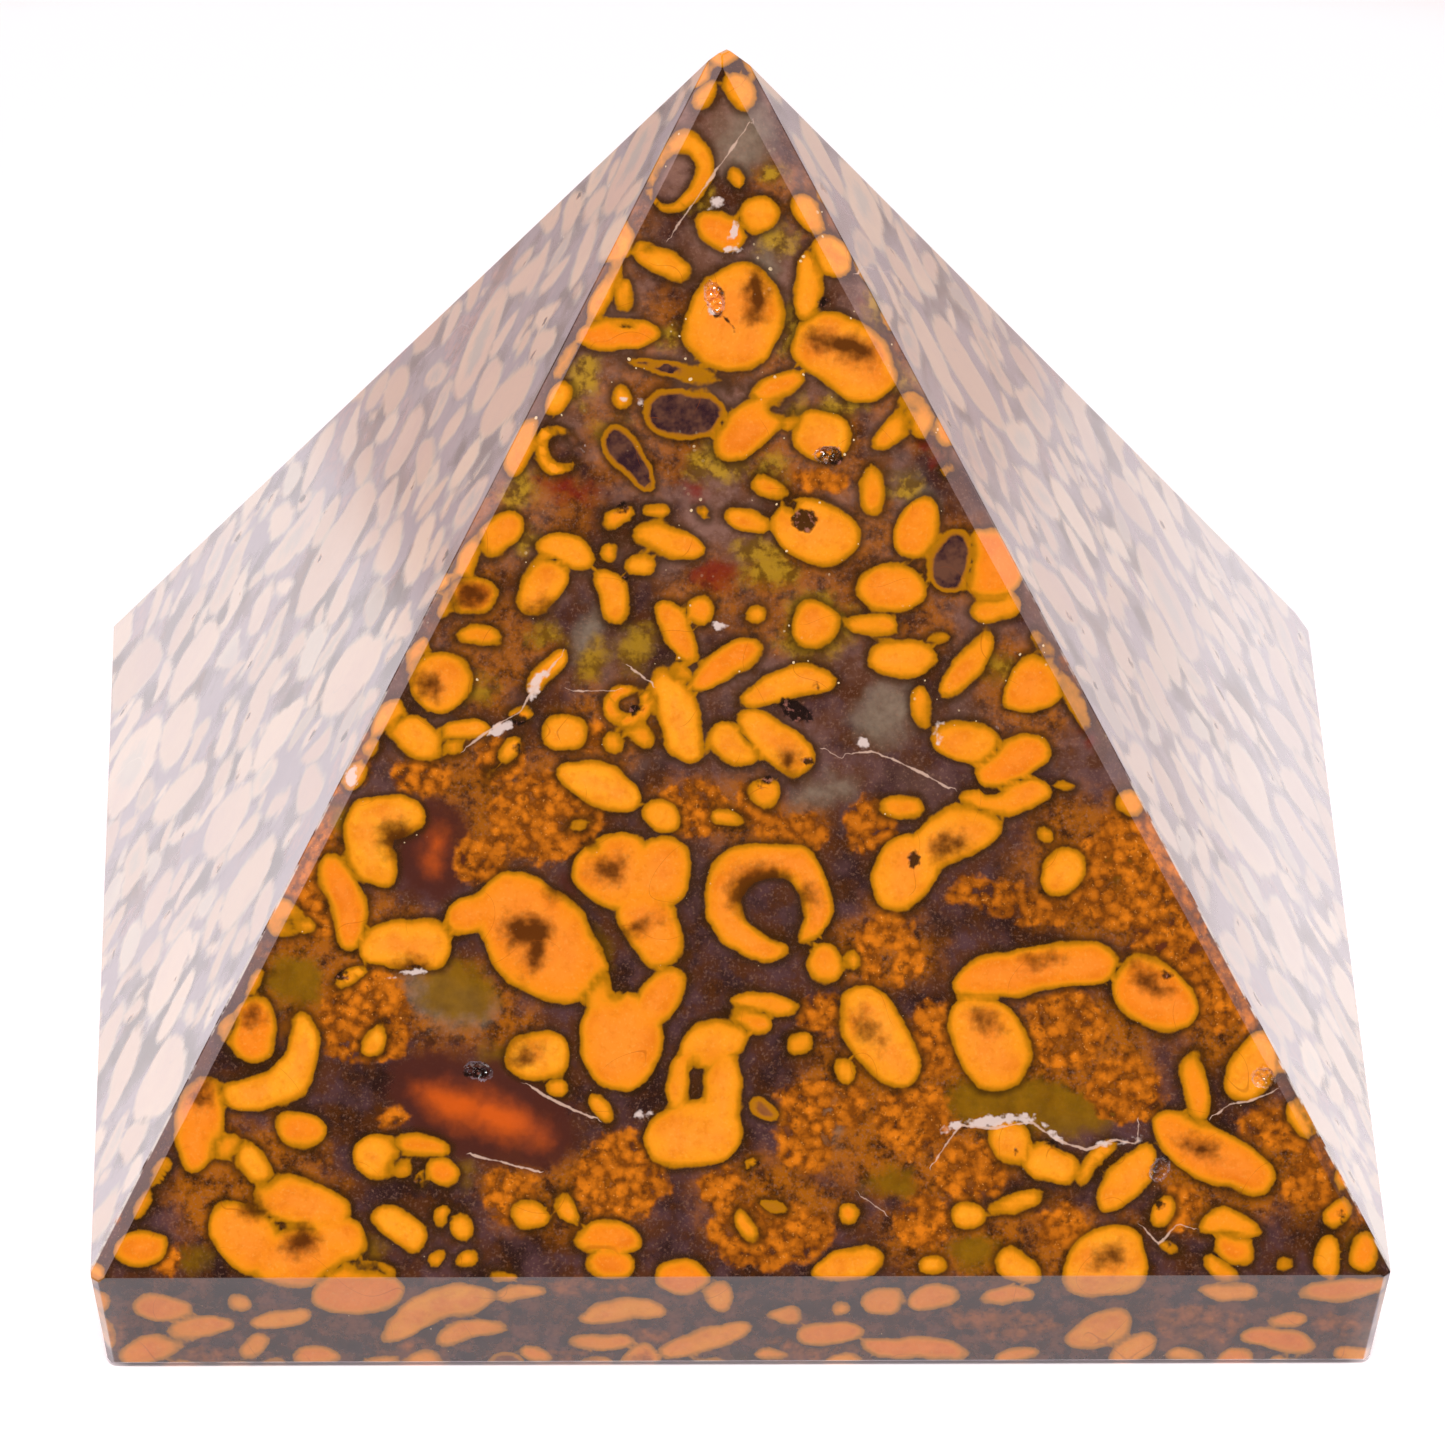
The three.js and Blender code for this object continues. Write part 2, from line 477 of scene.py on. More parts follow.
# %% Halve the long edges
FRONT_STEP = 0.42
SIDE_STEP = 0.59
UNDERSIDE_STEP = 1.2
HOLLOW_STEP = 0.15
ROUND_HOLLOW = 0.2
ON_THE_FACE = 0.05
PASSES = 5


def longest_edge(middle):
    """The longest edge allowed at this place of the stone."""
    for place, reach in hollow_places:
        if (middle - place).length_squared < (reach + ROUND_HOLLOW) ** 2:
            return HOLLOW_STEP
    if middle.z < 0.01:
        return UNDERSIDE_STEP
    height = max(SLOPES["front"].height_of(middle), BANDS["front"].height_of(middle))
    return FRONT_STEP if middle.y < 0 and height > -0.03 else SIDE_STEP


def triangulate(stone):
    wide = [face for face in stone.faces if len(face.verts) > 3]
    bmesh.ops.triangulate(stone, faces=wide, quad_method="BEAUTY", ngon_method="BEAUTY")


triangulate(stone)
for _ in range(PASSES):
    too_long = []
    for edge in stone.edges:
        length = edge.calc_length()
        if length > HOLLOW_STEP and length > longest_edge((edge.verts[0].co + edge.verts[1].co) / 2):
            too_long.append(edge)
    bmesh.ops.subdivide_edges(stone, edges=too_long, cuts=1)
    triangulate(stone)
print("The divided stone has", len(stone.faces), "triangles")

# %% [markdown]
# ## The hollows
# Where the rock had a small gap lined with crystals, polishing leaves an open hollow. A bump
# in the finish would look flat from the side, so the corners inside each hollow's outline
# are pushed in, with an uneven floor.

# %% Push in the hollows
for name, across, up_slope, length, width, turn, depth in HOLLOWS:
    face = SLOPES[name]
    middle = face.point(across, up_slope)
    way = Matrix.Rotation(math.radians(turn), 3, face.out) @ face.across
    side_way = face.out.cross(way)
    for vert in stone.verts:
        offset = vert.co - middle
        reach = math.hypot(offset.dot(way) / (length / 2), offset.dot(side_way) / (width / 2))
        if reach < 1.0 and abs(face.height_of(vert.co)) < ON_THE_FACE:
            uneven = 0.75 + 0.5 * noise.noise(vert.co * 5.0)
            vert.co -= face.out * depth * uneven * math.sqrt(1.0 - reach * reach)

stone_mesh = bpy.data.meshes.new("stone")
stone.to_mesh(stone_mesh)
stone.free()
points = np.empty(3 * len(stone_mesh.vertices), dtype=np.float32)
stone_mesh.vertices.foreach_get("co", points)
points = points.reshape(-1, 3).astype(np.float64)
print("It has", len(points), "corners")

# %% [markdown]
# ## Bodies in the rock
# A pebble runs on into the stone, so where it meets an edge it must show on both sides of it.
# A picture pasted on each face could not do that. Here every pebble is a body in space, bent
# and tapered as grown pebbles are, and each corner of the mesh is told how deep it lies
# inside the nearest one. The finish then draws the outline where that depth is zero. The
# rock was squeezed while it grew, so slow noise moves every place a little before it is
# measured, and no outline is a perfect oval.

# %% Describe one body
ROUNDNESS = 2.15


class Body:
    """A bent, tapered, rounded body on a face: millimetres and degrees."""

    def __init__(self, face, across, up, length, width, turn=0, bend=0, taper=0, depth=None):
        self.middle = np.array(face.point(across, up))
        way = Matrix.Rotation(math.radians(turn), 3, face.out) @ face.across
        self.axes = np.array((way, face.out.cross(way), face.out)).T
        self.half_size = np.array((length, width, depth or width)) / 2
        self.bend = math.radians(bend)
        self.taper = taper
        self.reach = float(np.hypot(length, width)) / 2

    def depth_at(self, places):
        """How deep each place lies inside the body; below zero outside it."""
        along, beside, inward = ((places - self.middle) @ self.axes).T
        if self.bend:
            way = math.copysign(1.0, self.bend)
            radius = 2 * self.half_size[0] / abs(self.bend)
            angle = np.arctan2(along, radius - way * beside)
            beside = way * (radius - np.hypot(along, radius - way * beside))
            along = radius * angle
        beside = beside / np.clip(1 + self.taper * along / self.half_size[0], 0.3, 2.0)
        shares = np.abs(np.stack((along, beside, inward), axis=1)) / self.half_size + 1e-4
        powers = shares ** ROUNDNESS
        size = powers.sum(axis=1)
        steepness = np.sqrt(((powers / shares / self.half_size) ** 2).sum(axis=1))
        return (1 - size ** (1 / ROUNDNESS)) / (size ** (1 / ROUNDNESS - 1) * steepness)

    def balls(self):
        """Balls along the middle line, for keeping other bodies clear: rows of x, y, z, radius."""
        count = max(1, round(self.half_size[0] / self.half_size[1] * 1.5))
        radius = self.half_size[1]
        steps = np.linspace(-1, 1, count) * max(0.0, self.half_size[0] - radius)
        if self.bend:
            curve = 2 * self.half_size[0] / self.bend
            turned = steps / curve
            local = np.stack((curve * np.sin(turned), curve * (1 - np.cos(turned)), 0 * steps), 1)
        else:
            local = np.stack((steps, 0 * steps, 0 * steps), 1)
        return np.column_stack((self.middle + local @ self.axes.T, np.full(count, radius)))


example = Body(SLOPES["front"], 0, 10, 4, 2)
deepest = float(example.depth_at(example.middle[None, :])[0])
print("The middle of a pebble of 4 by 2 mm lies about", round(deepest, 1), "mm deep")

# %% [markdown]
# ## Depths at the corners
# There are more than a thousand pebbles and almost a hundred thousand corners, and measuring
# every corner in every pebble would take long. A depth matters only near an outline, so each
# pebble is measured only at the corners close to it, and the others keep a depth far outside.

# %% Measure depths
FARTHEST = 1.6
SLOW_SQUEEZE, SLOW_REACH = 0.4, 0.4
QUICK_SQUEEZE, QUICK_REACH = 1.3, 0.11


def noise_way(place):
    """Noise in three directions at one place."""
    apart = (Vector((0.0, 0.0, 0.0)), Vector((19.0, 7.0, 3.0)), Vector((5.0, 31.0, 11.0)))
    return Vector([noise.noise(place + shift) for shift in apart])


def squeezed(place):
    """A place of the rock moved a little by slow noise, as the rock was squeezed while it grew."""
    slow = noise_way(place * SLOW_SQUEEZE) * SLOW_REACH
    return place + slow + noise_way(place * QUICK_SQUEEZE) * QUICK_REACH


squeezed_points = np.array([squeezed(Vector(point)) for point in points])


class Depths:
    """For every corner, the depth in the nearest of a kind of bodies, and which one that is."""

    def __init__(self):
        self.nearest = np.full(len(points), -FARTHEST)
        self.next = np.full(len(points), -FARTHEST)
        self.owner = np.zeros(len(points), dtype=int)

    def add(self, bodies, owner=0):
        """Adds one pebble, which may be of several bodies grown together."""
        middle = np.mean([body.middle for body in bodies], axis=0)
        reach = max(np.linalg.norm(body.middle - middle) + body.reach for body in bodies) + FARTHEST
        close = np.flatnonzero(((squeezed_points - middle) ** 2).sum(axis=1) < reach ** 2)
        depth = np.max([body.depth_at(squeezed_points[close]) for body in bodies], axis=0)
        before = self.nearest[close]
        first = depth > before
        self.next[close] = np.maximum(self.next[close], np.where(first, before, depth))
        self.nearest[close] = np.where(first, depth, before)
        self.owner[close] = np.where(first, owner, self.owner[close])

    def outlined(self, gap):
        """The depths, with a thin gap left where two pebbles touch."""
        return np.minimum(self.nearest, (self.nearest - self.next) / 2 - gap)


moved = np.linalg.norm(squeezed_points - points, axis=1)
print("The squeeze moves a place by up to", round(float(moved.max()), 2), "mm")

# %% [markdown]
# ## The pebbles of the front face
# These pebbles are read from the stone, each as a middle, a length, a width and a turn,
# with a bend for a bean and a taper for a wedge. They are millimetres and degrees, counted
# from the middle of the brow, where the slope meets the band. Chance could place them too,
# but this is the face that the stone is known by.

# %% List the pebbles of the front face
STONES = [
    (-0.1, 50.6, 1.2, 0.6, -60), (1.0, 48.7, 1.8, 1.5, 0), (-0.9, 48.2, 2.6, 1.4, -15, 40),
    (-3.7, 46.9, 2.7, 1.2, -30, 40), (-0.4, 44.1, 5.3, 4.4, 80), (3.1, 45.6, 3.2, 1.2, 80),
    (4.9, 42.5, 5.2, 3.3, -30), (-5.7, 43.4, 3.9, 1.7, 0, 35), (-6.3, 45.4, 3.0, 1.0, 65),
    (-5.3, 45.2, 1.2, 0.7, 90), (-8.35, 40.4, 1.7, 1.2, 50), (-2.8, 50.9, 3.7, 2.7, 60),
    (-12.4, 31.3, 2.3, 1.8, 0), (-3.9, 35.2, 1.2, 0.6, 0), (-11.0, 34.1, 2.4, 1.6, 50),
    (-7.9, 33.4, 2.6, 1.7, -15), (-5.95, 33.6, 0.9, 0.6, 90), (-3.4, 33.9, 3.3, 1.1, -20),
    (-4.6, 32.9, 1.3, 1.0, 0), (-9.2, 31.8, 2.8, 1.7, 50, -30), (-5.8, 31.5, 2.6, 1.3, 110, 90),
    (-12.0, 29.5, 1.9, 0.7, 0), (-13.9, 27.5, 3.0, 2.6, 0), (-8.9, 27.9, 2.4, 0.8, 55),
    (-3.0, 29.7, 2.9, 1.4, -60), (-14.9, 24.8, 2.9, 1.7, -30), (-12.7, 25.2, 2.0, 1.0, 0),
    (3.8, 38.8, 2.6, 2.4, 0), (7.6, 39.3, 3.3, 1.1, 45, 40), (6.05, 36.2, 2.4, 0.9, 85),
    (0.4, 34.9, 2.1, 1.1, -30), (8.1, 34.5, 3.0, 1.9, 65), (6.9, 31.7, 3.3, 2.0, 0),
    (11.8, 30.9, 2.4, 1.2, 15, -30), (6.0, 30.0, 2.3, 1.0, 0), (7.5, 28.5, 3.4, 1.6, -5),
    (10.5, 28.2, 3.7, 1.1, 60, 20), (13.4, 27.2, 2.6, 2.2, 40, 0, 0.25),
    (14.3, 29.0, 2.2, 1.0, -60), (-0.9, 28.2, 4.2, 1.3, 32), (2.0, 27.4, 4.6, 1.4, 15, -50),
    (-2.9, 25.9, 4.6, 1.8, -65), (-0.3, 24.4, 2.3, 1.5, -35), (1.7, 24.6, 4.0, 2.0, -35),
    (-6.5, 22.6, 3.9, 1.9, -20), (-3.8, 21.3, 1.7, 1.4, 0), (-8.2, 25.2, 2.0, 1.7, 0),
    (8.5, 26.2, 2.0, 0.8, -80), (10.4, 24.7, 2.9, 1.6, 0, 40), (12.6, 23.8, 3.7, 2.1, 25),
    (12.2, 21.9, 4.3, 1.4, 5, 20), (14.9, 18.8, 2.3, 1.9, 30), (13.6, 14.1, 7.4, 2.3, 8, -14),
    (3.8, 14.3, 2.0, 1.5, -70), (19.0, 12.9, 4.0, 2.9, -45), (7.5, 21.6, 2.0, 0.8, 0),
    (-18.4, 17.4, 4.2, 1.6, -75), (-15.4, 15.4, 4.0, 2.4, 0, 0), (-20.7, 16.3, 1.6, 0.9, 0),
    (-22.5, 11.4, 3.1, 2.2, 75), (-21.0, 9.0, 7.0, 1.75, 41, 150), (-25.0, 7.1, 4.5, 2.0, 80),
    (-20.3, 6.8, 2.1, 1.6, 0), (-22.4, 5.2, 2.6, 1.1, -45), (-16.7, 5.5, 2.2, 2.0, 0),
    (-14.6, 6.0, 2.4, 1.0, -10), (-13.8, 4.8, 1.4, 1.3, 0), (-27.7, 1.3, 2.2, 1.7, 0),
    (-27.4, 4.6, 1.6, 0.7, 55), (-22.5, 13.5, 1.6, 0.7, 55), (-17.0, 0.3, 1.7, 0.6, 0),
    (-9.3, 10.2, 2.7, 2.1, 0), (1.0, 12.6, 3.3, 1.0, -8), (0.3, 11.8, 2.0, 1.1, -15),
    (-2.7, -0.2, 2.4, 2.0, 0), (2.7, 10.8, 1.1, 0.9, 0), (-10.9, 0.0, 1.2, 0.5, 0),
    (6.4, 10.9, 5.2, 2.7, -62, 50), (11.3, 10.7, 4.5, 3.1, -65, 30, 0.15),
    (12.7, 3.4, 2.7, 0.9, 15), (10.4, 2.9, 1.6, 1.1, 0), (16.2, 5.2, 2.4, 0.7, 50),
    (17.8, 4.5, 3.4, 1.6, 55), (12.7, 0.5, 2.2, 1.4, -30), (16.8, 0.4, 4.2, 3.3, 20),
    (4.9, 0.4, 3.4, 1.3, 15), (8.8, 0.3, 1.2, 0.8, 0), (20.9, 8.7, 3.1, 1.1, -85),
    (21.7, 5.7, 6.2, 2.6, -30), (23.7, 9.8, 3.6, 2.0, 60), (22.6, 2.4, 2.7, 1.1, 0, -50),
    (22.9, 1.2, 1.6, 1.4, 0), (22.3, 0.1, 1.9, 0.7, -45), (27.1, 0.9, 2.0, 1.2, 90),
    (28.9, 1.2, 1.6, 1.2, 90), (25.2, 0.7, 0.7, 0.6, 0), (15.9, 26.5, 3.0, 0.9, -60),
    (13.9, 20.3, 0.8, 0.6, 0), (15.0, 22.5, 0.7, 0.4, 0), (-1.6, 35.2, 0.6, 0.5, 0),
    (1.4, 36.3, 1.4, 0.7, -30), (-1.8, 30.7, 1.3, 1.2, 0), (9.1, 29.5, 0.8, 0.5, 0),
    (9.8, 37.3, 0.9, 0.7, 0), (0.6, 30.6, 0.7, 0.6, 0), (-3.0, 27.8, 1.0, 0.8, 0),
    (-4.7, 25.0, 2.0, 0.9, -30), (-5.8, 24.5, 1.1, 0.9, 0), (-13.4, 24.4, 1.0, 0.7, 0),
    (3.4, 34.35, 3.9, 2.9, -12), (18.2, 21.9, 1.6, 1.2, 0), (-23.8, 6.1, 1.2, 1.0, 0),
    (-15.8, 5.1, 1.1, 1.0, 0), (-8.6, 8.8, 0.8, 0.8, 0), (-15.9, 2.3, 2.4, 1.3, -30),
    (-9.7, 2.9, 1.6, 1.1, -20), (-12.5, 0.7, 0.8, 0.7, 0), (3.4, 30.0, 2.4, 2.2, 0),
    (-27.8, 3.5, 1.4, 0.8, 62), (-27.0, 4.9, 1.5, 0.9, 62), (-23.5, 11.6, 1.5, 1.0, 62),
    (-21.2, 16.5, 1.8, 1.5, 62), (-17.9, 23.1, 1.3, 1.0, 50), (-17.0, 24.4, 0.9, 0.8, 62),
    (-16.5, 25.9, 1.8, 1.2, 62), (-15.0, 28.8, 2.0, 1.1, 62), (-13.6, 31.1, 1.5, 1.0, 62),
    (-12.5, 33.0, 2.2, 0.9, 62), (-10.4, 38.4, 3.0, 1.7, 66), (-8.2, 42.4, 2.1, 1.1, 62),
    (-1.7, 54.4, 1.8, 1.0, 60), (17.1, 24.3, 0.8, 0.7, -62), (15.8, 26.7, 3.6, 1.4, -62),
    (14.3, 28.9, 1.3, 1.1, -62), (11.7, 32.8, 3.3, 2.9, -62), (9.9, 37.4, 0.9, 0.9, 0),
    (8.2, 39.7, 2.0, 1.6, -62), (4.5, 47.2, 2.1, 2.2, -62), (3.4, 49.1, 1.9, 1.7, -62),
    (0.1, 54.7, 1.7, 1.5, -60), (25.9, 7.3, 1.8, 0.9, -62),
]
print(len(STONES), "single pebbles on the front face")

# %% [markdown]
# ## Pebbles of several parts, rings and shells
# Some pebbles grew together and are listed as one, so that no gap is left where they meet.
# Some closed round quartz and are open rings, some have a window of quartz in them, and a
# few are only a thin shell, like ghosts of pebbles.

# %% List the pebbles that are not simple
LOBED = [
    [(-17.2, 20.1, 3.5, 2.2, 95), (-16.3, 21.0, 3.0, 2.0, 10), (-16.5, 18.9, 1.7, 1.4, 60)],
    [(0.3, 38.9, 3.6, 2.0, 35), (1.8, 40.9, 2.6, 1.0, 20), (2.3, 39.4, 0.9, 0.8, 0)],
    [(-5.7, 18.7, 3.6, 3.2, 0), (-3.7, 18.7, 3.2, 2.8, 70), (-4.2, 16.1, 4.0, 2.5, -60)],
    [(-9.3, 15.7, 6.4, 4.4, -50), (-12.2, 16.6, 2.6, 1.8, 15), (-8.2, 14.2, 3.6, 3.2, 0)],
    [(-5.6, 10.9, 4.6, 3.3, 95), (-3.8, 12.7, 3.4, 1.7, 50), (-6.6, 13.2, 1.8, 1.2, 90)],
    [(-1.4, 10.8, 3.1, 2.0, 20), (-2.9, 8.9, 2.8, 1.0, 85), (-0.9, 8.4, 4.2, 1.6, 85),
     (-2.3, 6.5, 4.2, 2.8, 10)],
    [(-20.2, 3.4, 4.4, 2.4, -20), (-23.0, 1.8, 3.6, 2.8, -50), (-20.5, 0.8, 4.5, 2.4, 0),
     (-18.6, 1.6, 2.0, 2.4, 90)],
    [(7.6, 18.6, 3.6, 2.8, 75), (9.7, 20.3, 4.6, 2.3, 25)],
    [(-6.2, 1.9, 3.2, 1.5, 0, -40), (-6.0, 0.6, 2.2, 1.4, 0)],
    [(12.4, 6.0, 2.2, 1.5, -20), (14.3, 5.0, 2.4, 1.6, -20)],
]

# Middle across and up, outer length and width, turn, width of the ring, opening: direction, angle
RINGS = [
    (1.3, 17.2, 6.1, 5.6, 0, 1.65, -62, 62), (-8.3, 38.0, 2.2, 2.1, 0, 0.4, 10, 150),
    (-5.2, 26.4, 2.3, 2.1, 0, 0.6, 60, 70),
]

WINDOWS = [
    (-3.1, 50.7, 2.7, 1.7, 60), (1.9, 39.8, 1.6, 0.55, -10), (-4.0, 47.6, 1.0, 0.5, 0),
    (11.5, 22.4, 1.2, 0.5, 0), (-2.1, 9.0, 2.1, 0.5, 85), (2.2, 35.6, 1.3, 0.5, 140),
    (-5.4, 44.0, 0.9, 0.35, 0), (-5.6, 13.2, 0.9, 0.7, 40), (-6.9, 19.9, 0.9, 0.6, -60),
]

GHOSTS = [
    (-5.1, 37.7, 3.4, 1.2, -55), (-2.7, 39.7, 3.8, 2.4, 0), (-2.8, 41.6, 4.2, 0.5, -14, -20),
    (9.8, 33.0, 2.8, 2.4, 90),
]
print(len(LOBED), "pebbles of several parts,", len(RINGS), "rings and", len(GHOSTS), "shells")

# %% [markdown]
# ## Patches in the quartz
# Between the pebbles lie grainy rust, wider rusty stains, olive, red and grey quartz, and two
# places where light comes back orange from the depth. They have the same form of body as the
# pebbles, so they also run round the edges, and the finish frays their outlines more.

# %% List the patches
RUST = [
    (-20.0, 19.3, 5.0, 1.3, 62), (22.6, 13.6, 5.0, 1.6, -62), (20.2, 17.6, 5.5, 2.0, -62),
    (27.4, 4.6, 5.0, 1.6, -62), (-7.0, 24.9, 1.4, 1.3, 0), (19.8, 15.0, 3.5, 3.0, 0),
    (-24.2, 6.4, 1.8, 1.5, 0), (-16.0, 7.4, 1.3, 1.1, 0), (3.8, 36.7, 2.6, 1.2, 0),
    (-14.8, 22.9, 2.4, 2.0, 0), (-11.1, 23.8, 2.4, 2.0, 0), (-9.0, 21.2, 5.0, 4.0, 0),
    (-12.0, 19.2, 2.8, 2.4, 0), (-19.6, 17.3, 2.8, 2.6, 0), (-1.9, 21.6, 3.2, 2.5, 0),
    (1.2, 21.4, 3.0, 1.5, -35), (3.0, 20.6, 2.4, 1.8, -20), (6.0, 20.8, 2.6, 2.2, 90),
    (5.9, 14.6, 2.6, 1.4, -70), (7.7, 14.6, 2.8, 1.2, 70), (7.0, 16.0, 2.4, 1.6, 0),
    (12.6, 17.3, 6.0, 1.6, -12), (17.5, 18.2, 4.8, 4.6, 0), (18.2, 20.8, 3.2, 2.6, 30),
    (-17.3, 11.9, 4.2, 4.2, 0), (-5.5, 4.7, 4.5, 3.9, 0), (-10.6, 3.7, 2.6, 2.4, 0),
    (-0.8, 4.1, 2.2, 2.0, 0), (1.3, 2.0, 5.8, 3.0, 0), (8.9, 10.9, 3.8, 1.8, 90),
    (15.0, 11.3, 4.1, 3.2, 0), (3.9, 12.0, 3.0, 1.6, 0), (2.9, 7.0, 4.4, 2.8, 85),
    (5.0, 7.8, 2.2, 1.6, 90), (7.9, 7.2, 3.6, 3.4, 0), (10.7, 4.8, 3.0, 2.6, 0),
    (8.2, 2.6, 3.0, 2.6, 60), (14.9, 2.3, 2.8, 2.0, 0), (17.7, 8.6, 3.6, 3.2, 0),
    (21.8, 13.0, 3.6, 2.6, 80), (24.8, 6.9, 3.8, 1.9, -20), (26.7, 4.2, 3.6, 2.6, -20),
    (20.2, 3.2, 2.2, 1.6, 90), (-26.4, 0.8, 1.8, 1.4, 0),
]

STAINS = [
    (-5.5, 40.0, 5.0, 3.0, 40), (1.0, 42.2, 4.0, 2.4, 0), (6.0, 34.0, 4.0, 3.0, 90),
    (-8.5, 35.5, 4.0, 4.0, 0), (-1.5, 31.5, 4.0, 3.0, 0), (8.5, 30.5, 3.0, 3.0, 0),
    (-12.5, 23.0, 6.0, 4.0, 0), (22.0, 4.0, 6.0, 4.0, 0), (17.0, 18.5, 9.0, 7.0, -30),
    (21.5, 12.5, 6.0, 5.0, -60), (-18.5, 14.5, 8.0, 6.0, 40), (-11.0, 22.0, 8.0, 6.0, 0),
    (-13.0, 12.5, 7.0, 4.0, -10), (8.0, 7.5, 12.0, 8.0, 0), (15.0, 10.0, 9.0, 6.0, 0),
    (26.0, 5.5, 6.0, 5.0, -40), (0.0, 21.3, 8.0, 3.0, -10), (6.5, 15.0, 5.0, 4.0, 0),
    (-19.5, 20.0, 4.0, 3.0, 60), (13.0, 27.0, 6.0, 4.0, -60), (-11.5, 29.0, 6.0, 5.0, 45),
    (-6.0, 25.5, 5.0, 4.0, 0), (2.5, 31.0, 6.0, 5.0, 0), (3.5, 38.0, 6.0, 5.0, 0),
    (-4.5, 38.5, 5.0, 5.0, 0), (2.5, 49.5, 4.0, 3.0, -50), (-3.5, 44.0, 2.5, 4.0, 0),
    (12.0, 1.5, 12.0, 4.0, 0), (10.0, 33.0, 5.0, 4.0, -50), (-22.5, 4.0, 8.0, 6.0, 0),
    (1.5, 3.5, 7.0, 4.0, 0), (-8.0, 4.0, 8.0, 4.0, 0),
]

OLIVE = [
    (1.8, 47.5, 1.5, 1.0, 0), (-1.8, 49.6, 1.2, 1.0, 0), (2.5, 43.8, 2.4, 1.2, 80),
    (-7.2, 41.2, 2.2, 1.4, 60), (-1.0, 37.5, 2.6, 1.6, 0), (0.9, 33.1, 2.2, 1.4, 0),
    (7.9, 41.4, 1.8, 1.2, -50), (-10.3, 36.2, 2.2, 1.4, 60), (1.6, 50.7, 1.2, 0.9, 0),
    (-3.3, 43.2, 1.6, 0.9, 90), (4.8, 40.3, 2.4, 1.2, 30), (1.4, 37.3, 1.4, 0.9, 0),
    (7.4, 36.5, 1.5, 1.3, 0), (-6.0, 39.0, 1.3, 0.8, 0), (1.4, 32.3, 2.4, 1.2, 0),
    (3.4, 30.0, 3.4, 3.0, 0), (-6.7, 28.4, 2.3, 1.3, 60), (-4.8, 29.1, 1.9, 1.3, 70),
    (11.7, 28.0, 1.5, 1.1, 0), (-9.7, 33.9, 1.6, 0.7, 80), (-12.3, 27.2, 1.8, 1.0, 0),
    (-9.0, 29.6, 1.4, 1.0, 0), (-18.5, 20.9, 1.5, 1.2, 0), (-20.5, 13.6, 2.6, 2.2, 0),
    (-13.0, 13.2, 3.6, 2.6, -20), (-11.2, 10.0, 1.4, 1.1, 0), (13.2, 7.7, 7.6, 2.6, -8),
    (6.9, 4.3, 2.2, 1.1, 0), (17.4, 19.2, 1.6, 1.4, 0), (10.5, 1.2, 2.2, 1.4, 0),
    (-25.4, 0.8, 1.3, 1.0, 0), (-17.2, 1.2, 1.2, 0.7, 0), (-6.6, 14.8, 2.5, 0.5, 90),
    (-12.7, 4.8, 1.1, 0.5, 90), (28.9, 1.3, 1.3, 1.6, 0), (2.8, 39.8, 1.2, 0.8, 0),
]

RED = [
    (-8.0, 36.3, 2.6, 0.9, -10), (-1.2, 32.3, 2.2, 1.3, 0), (-2.0, 36.2, 1.2, 0.8, 0),
    (-3.0, 40.2, 2.4, 1.4, 0), (5.6, 45.6, 1.4, 0.5, -60), (8.7, 38.2, 1.2, 0.5, -50),
    (16.4, 24.9, 1.4, 0.5, -60),
]

GREY = [
    (0.2, 52.4, 3.8, 2.6, 80), (6.6, 26.0, 3.6, 2.6, 60), (4.1, 7.2, 2.0, 0.8, 90),
    (-13.4, 12.8, 4.4, 2.2, -20), (1.2, 46.6, 4.0, 1.2, 80), (8.0, 36.2, 3.0, 1.4, -50),
    (-7.0, 29.6, 3.0, 1.6, 60), (3.9, 22.4, 3.0, 1.2, 10),
]

EMBERS = [
    (-12.1, 7.7, 9.4, 4.7, -23), (-14.2, 19.7, 4.8, 3.4, 80), (-7.6, 18.2, 1.2, 1.0, 0),
    (19.6, 15.0, 3.2, 2.6, 0),
]
print(len(RUST + STAINS + OLIVE + RED + GREY + EMBERS), "patches on the front face")

# %% [markdown]
# ## Small marks
# Many pebbles have a dark core. Some have small holes, pale crystals are scattered about, and
# thin healed cracks cross the face. A crack is a line of straight pieces, which noise bends.

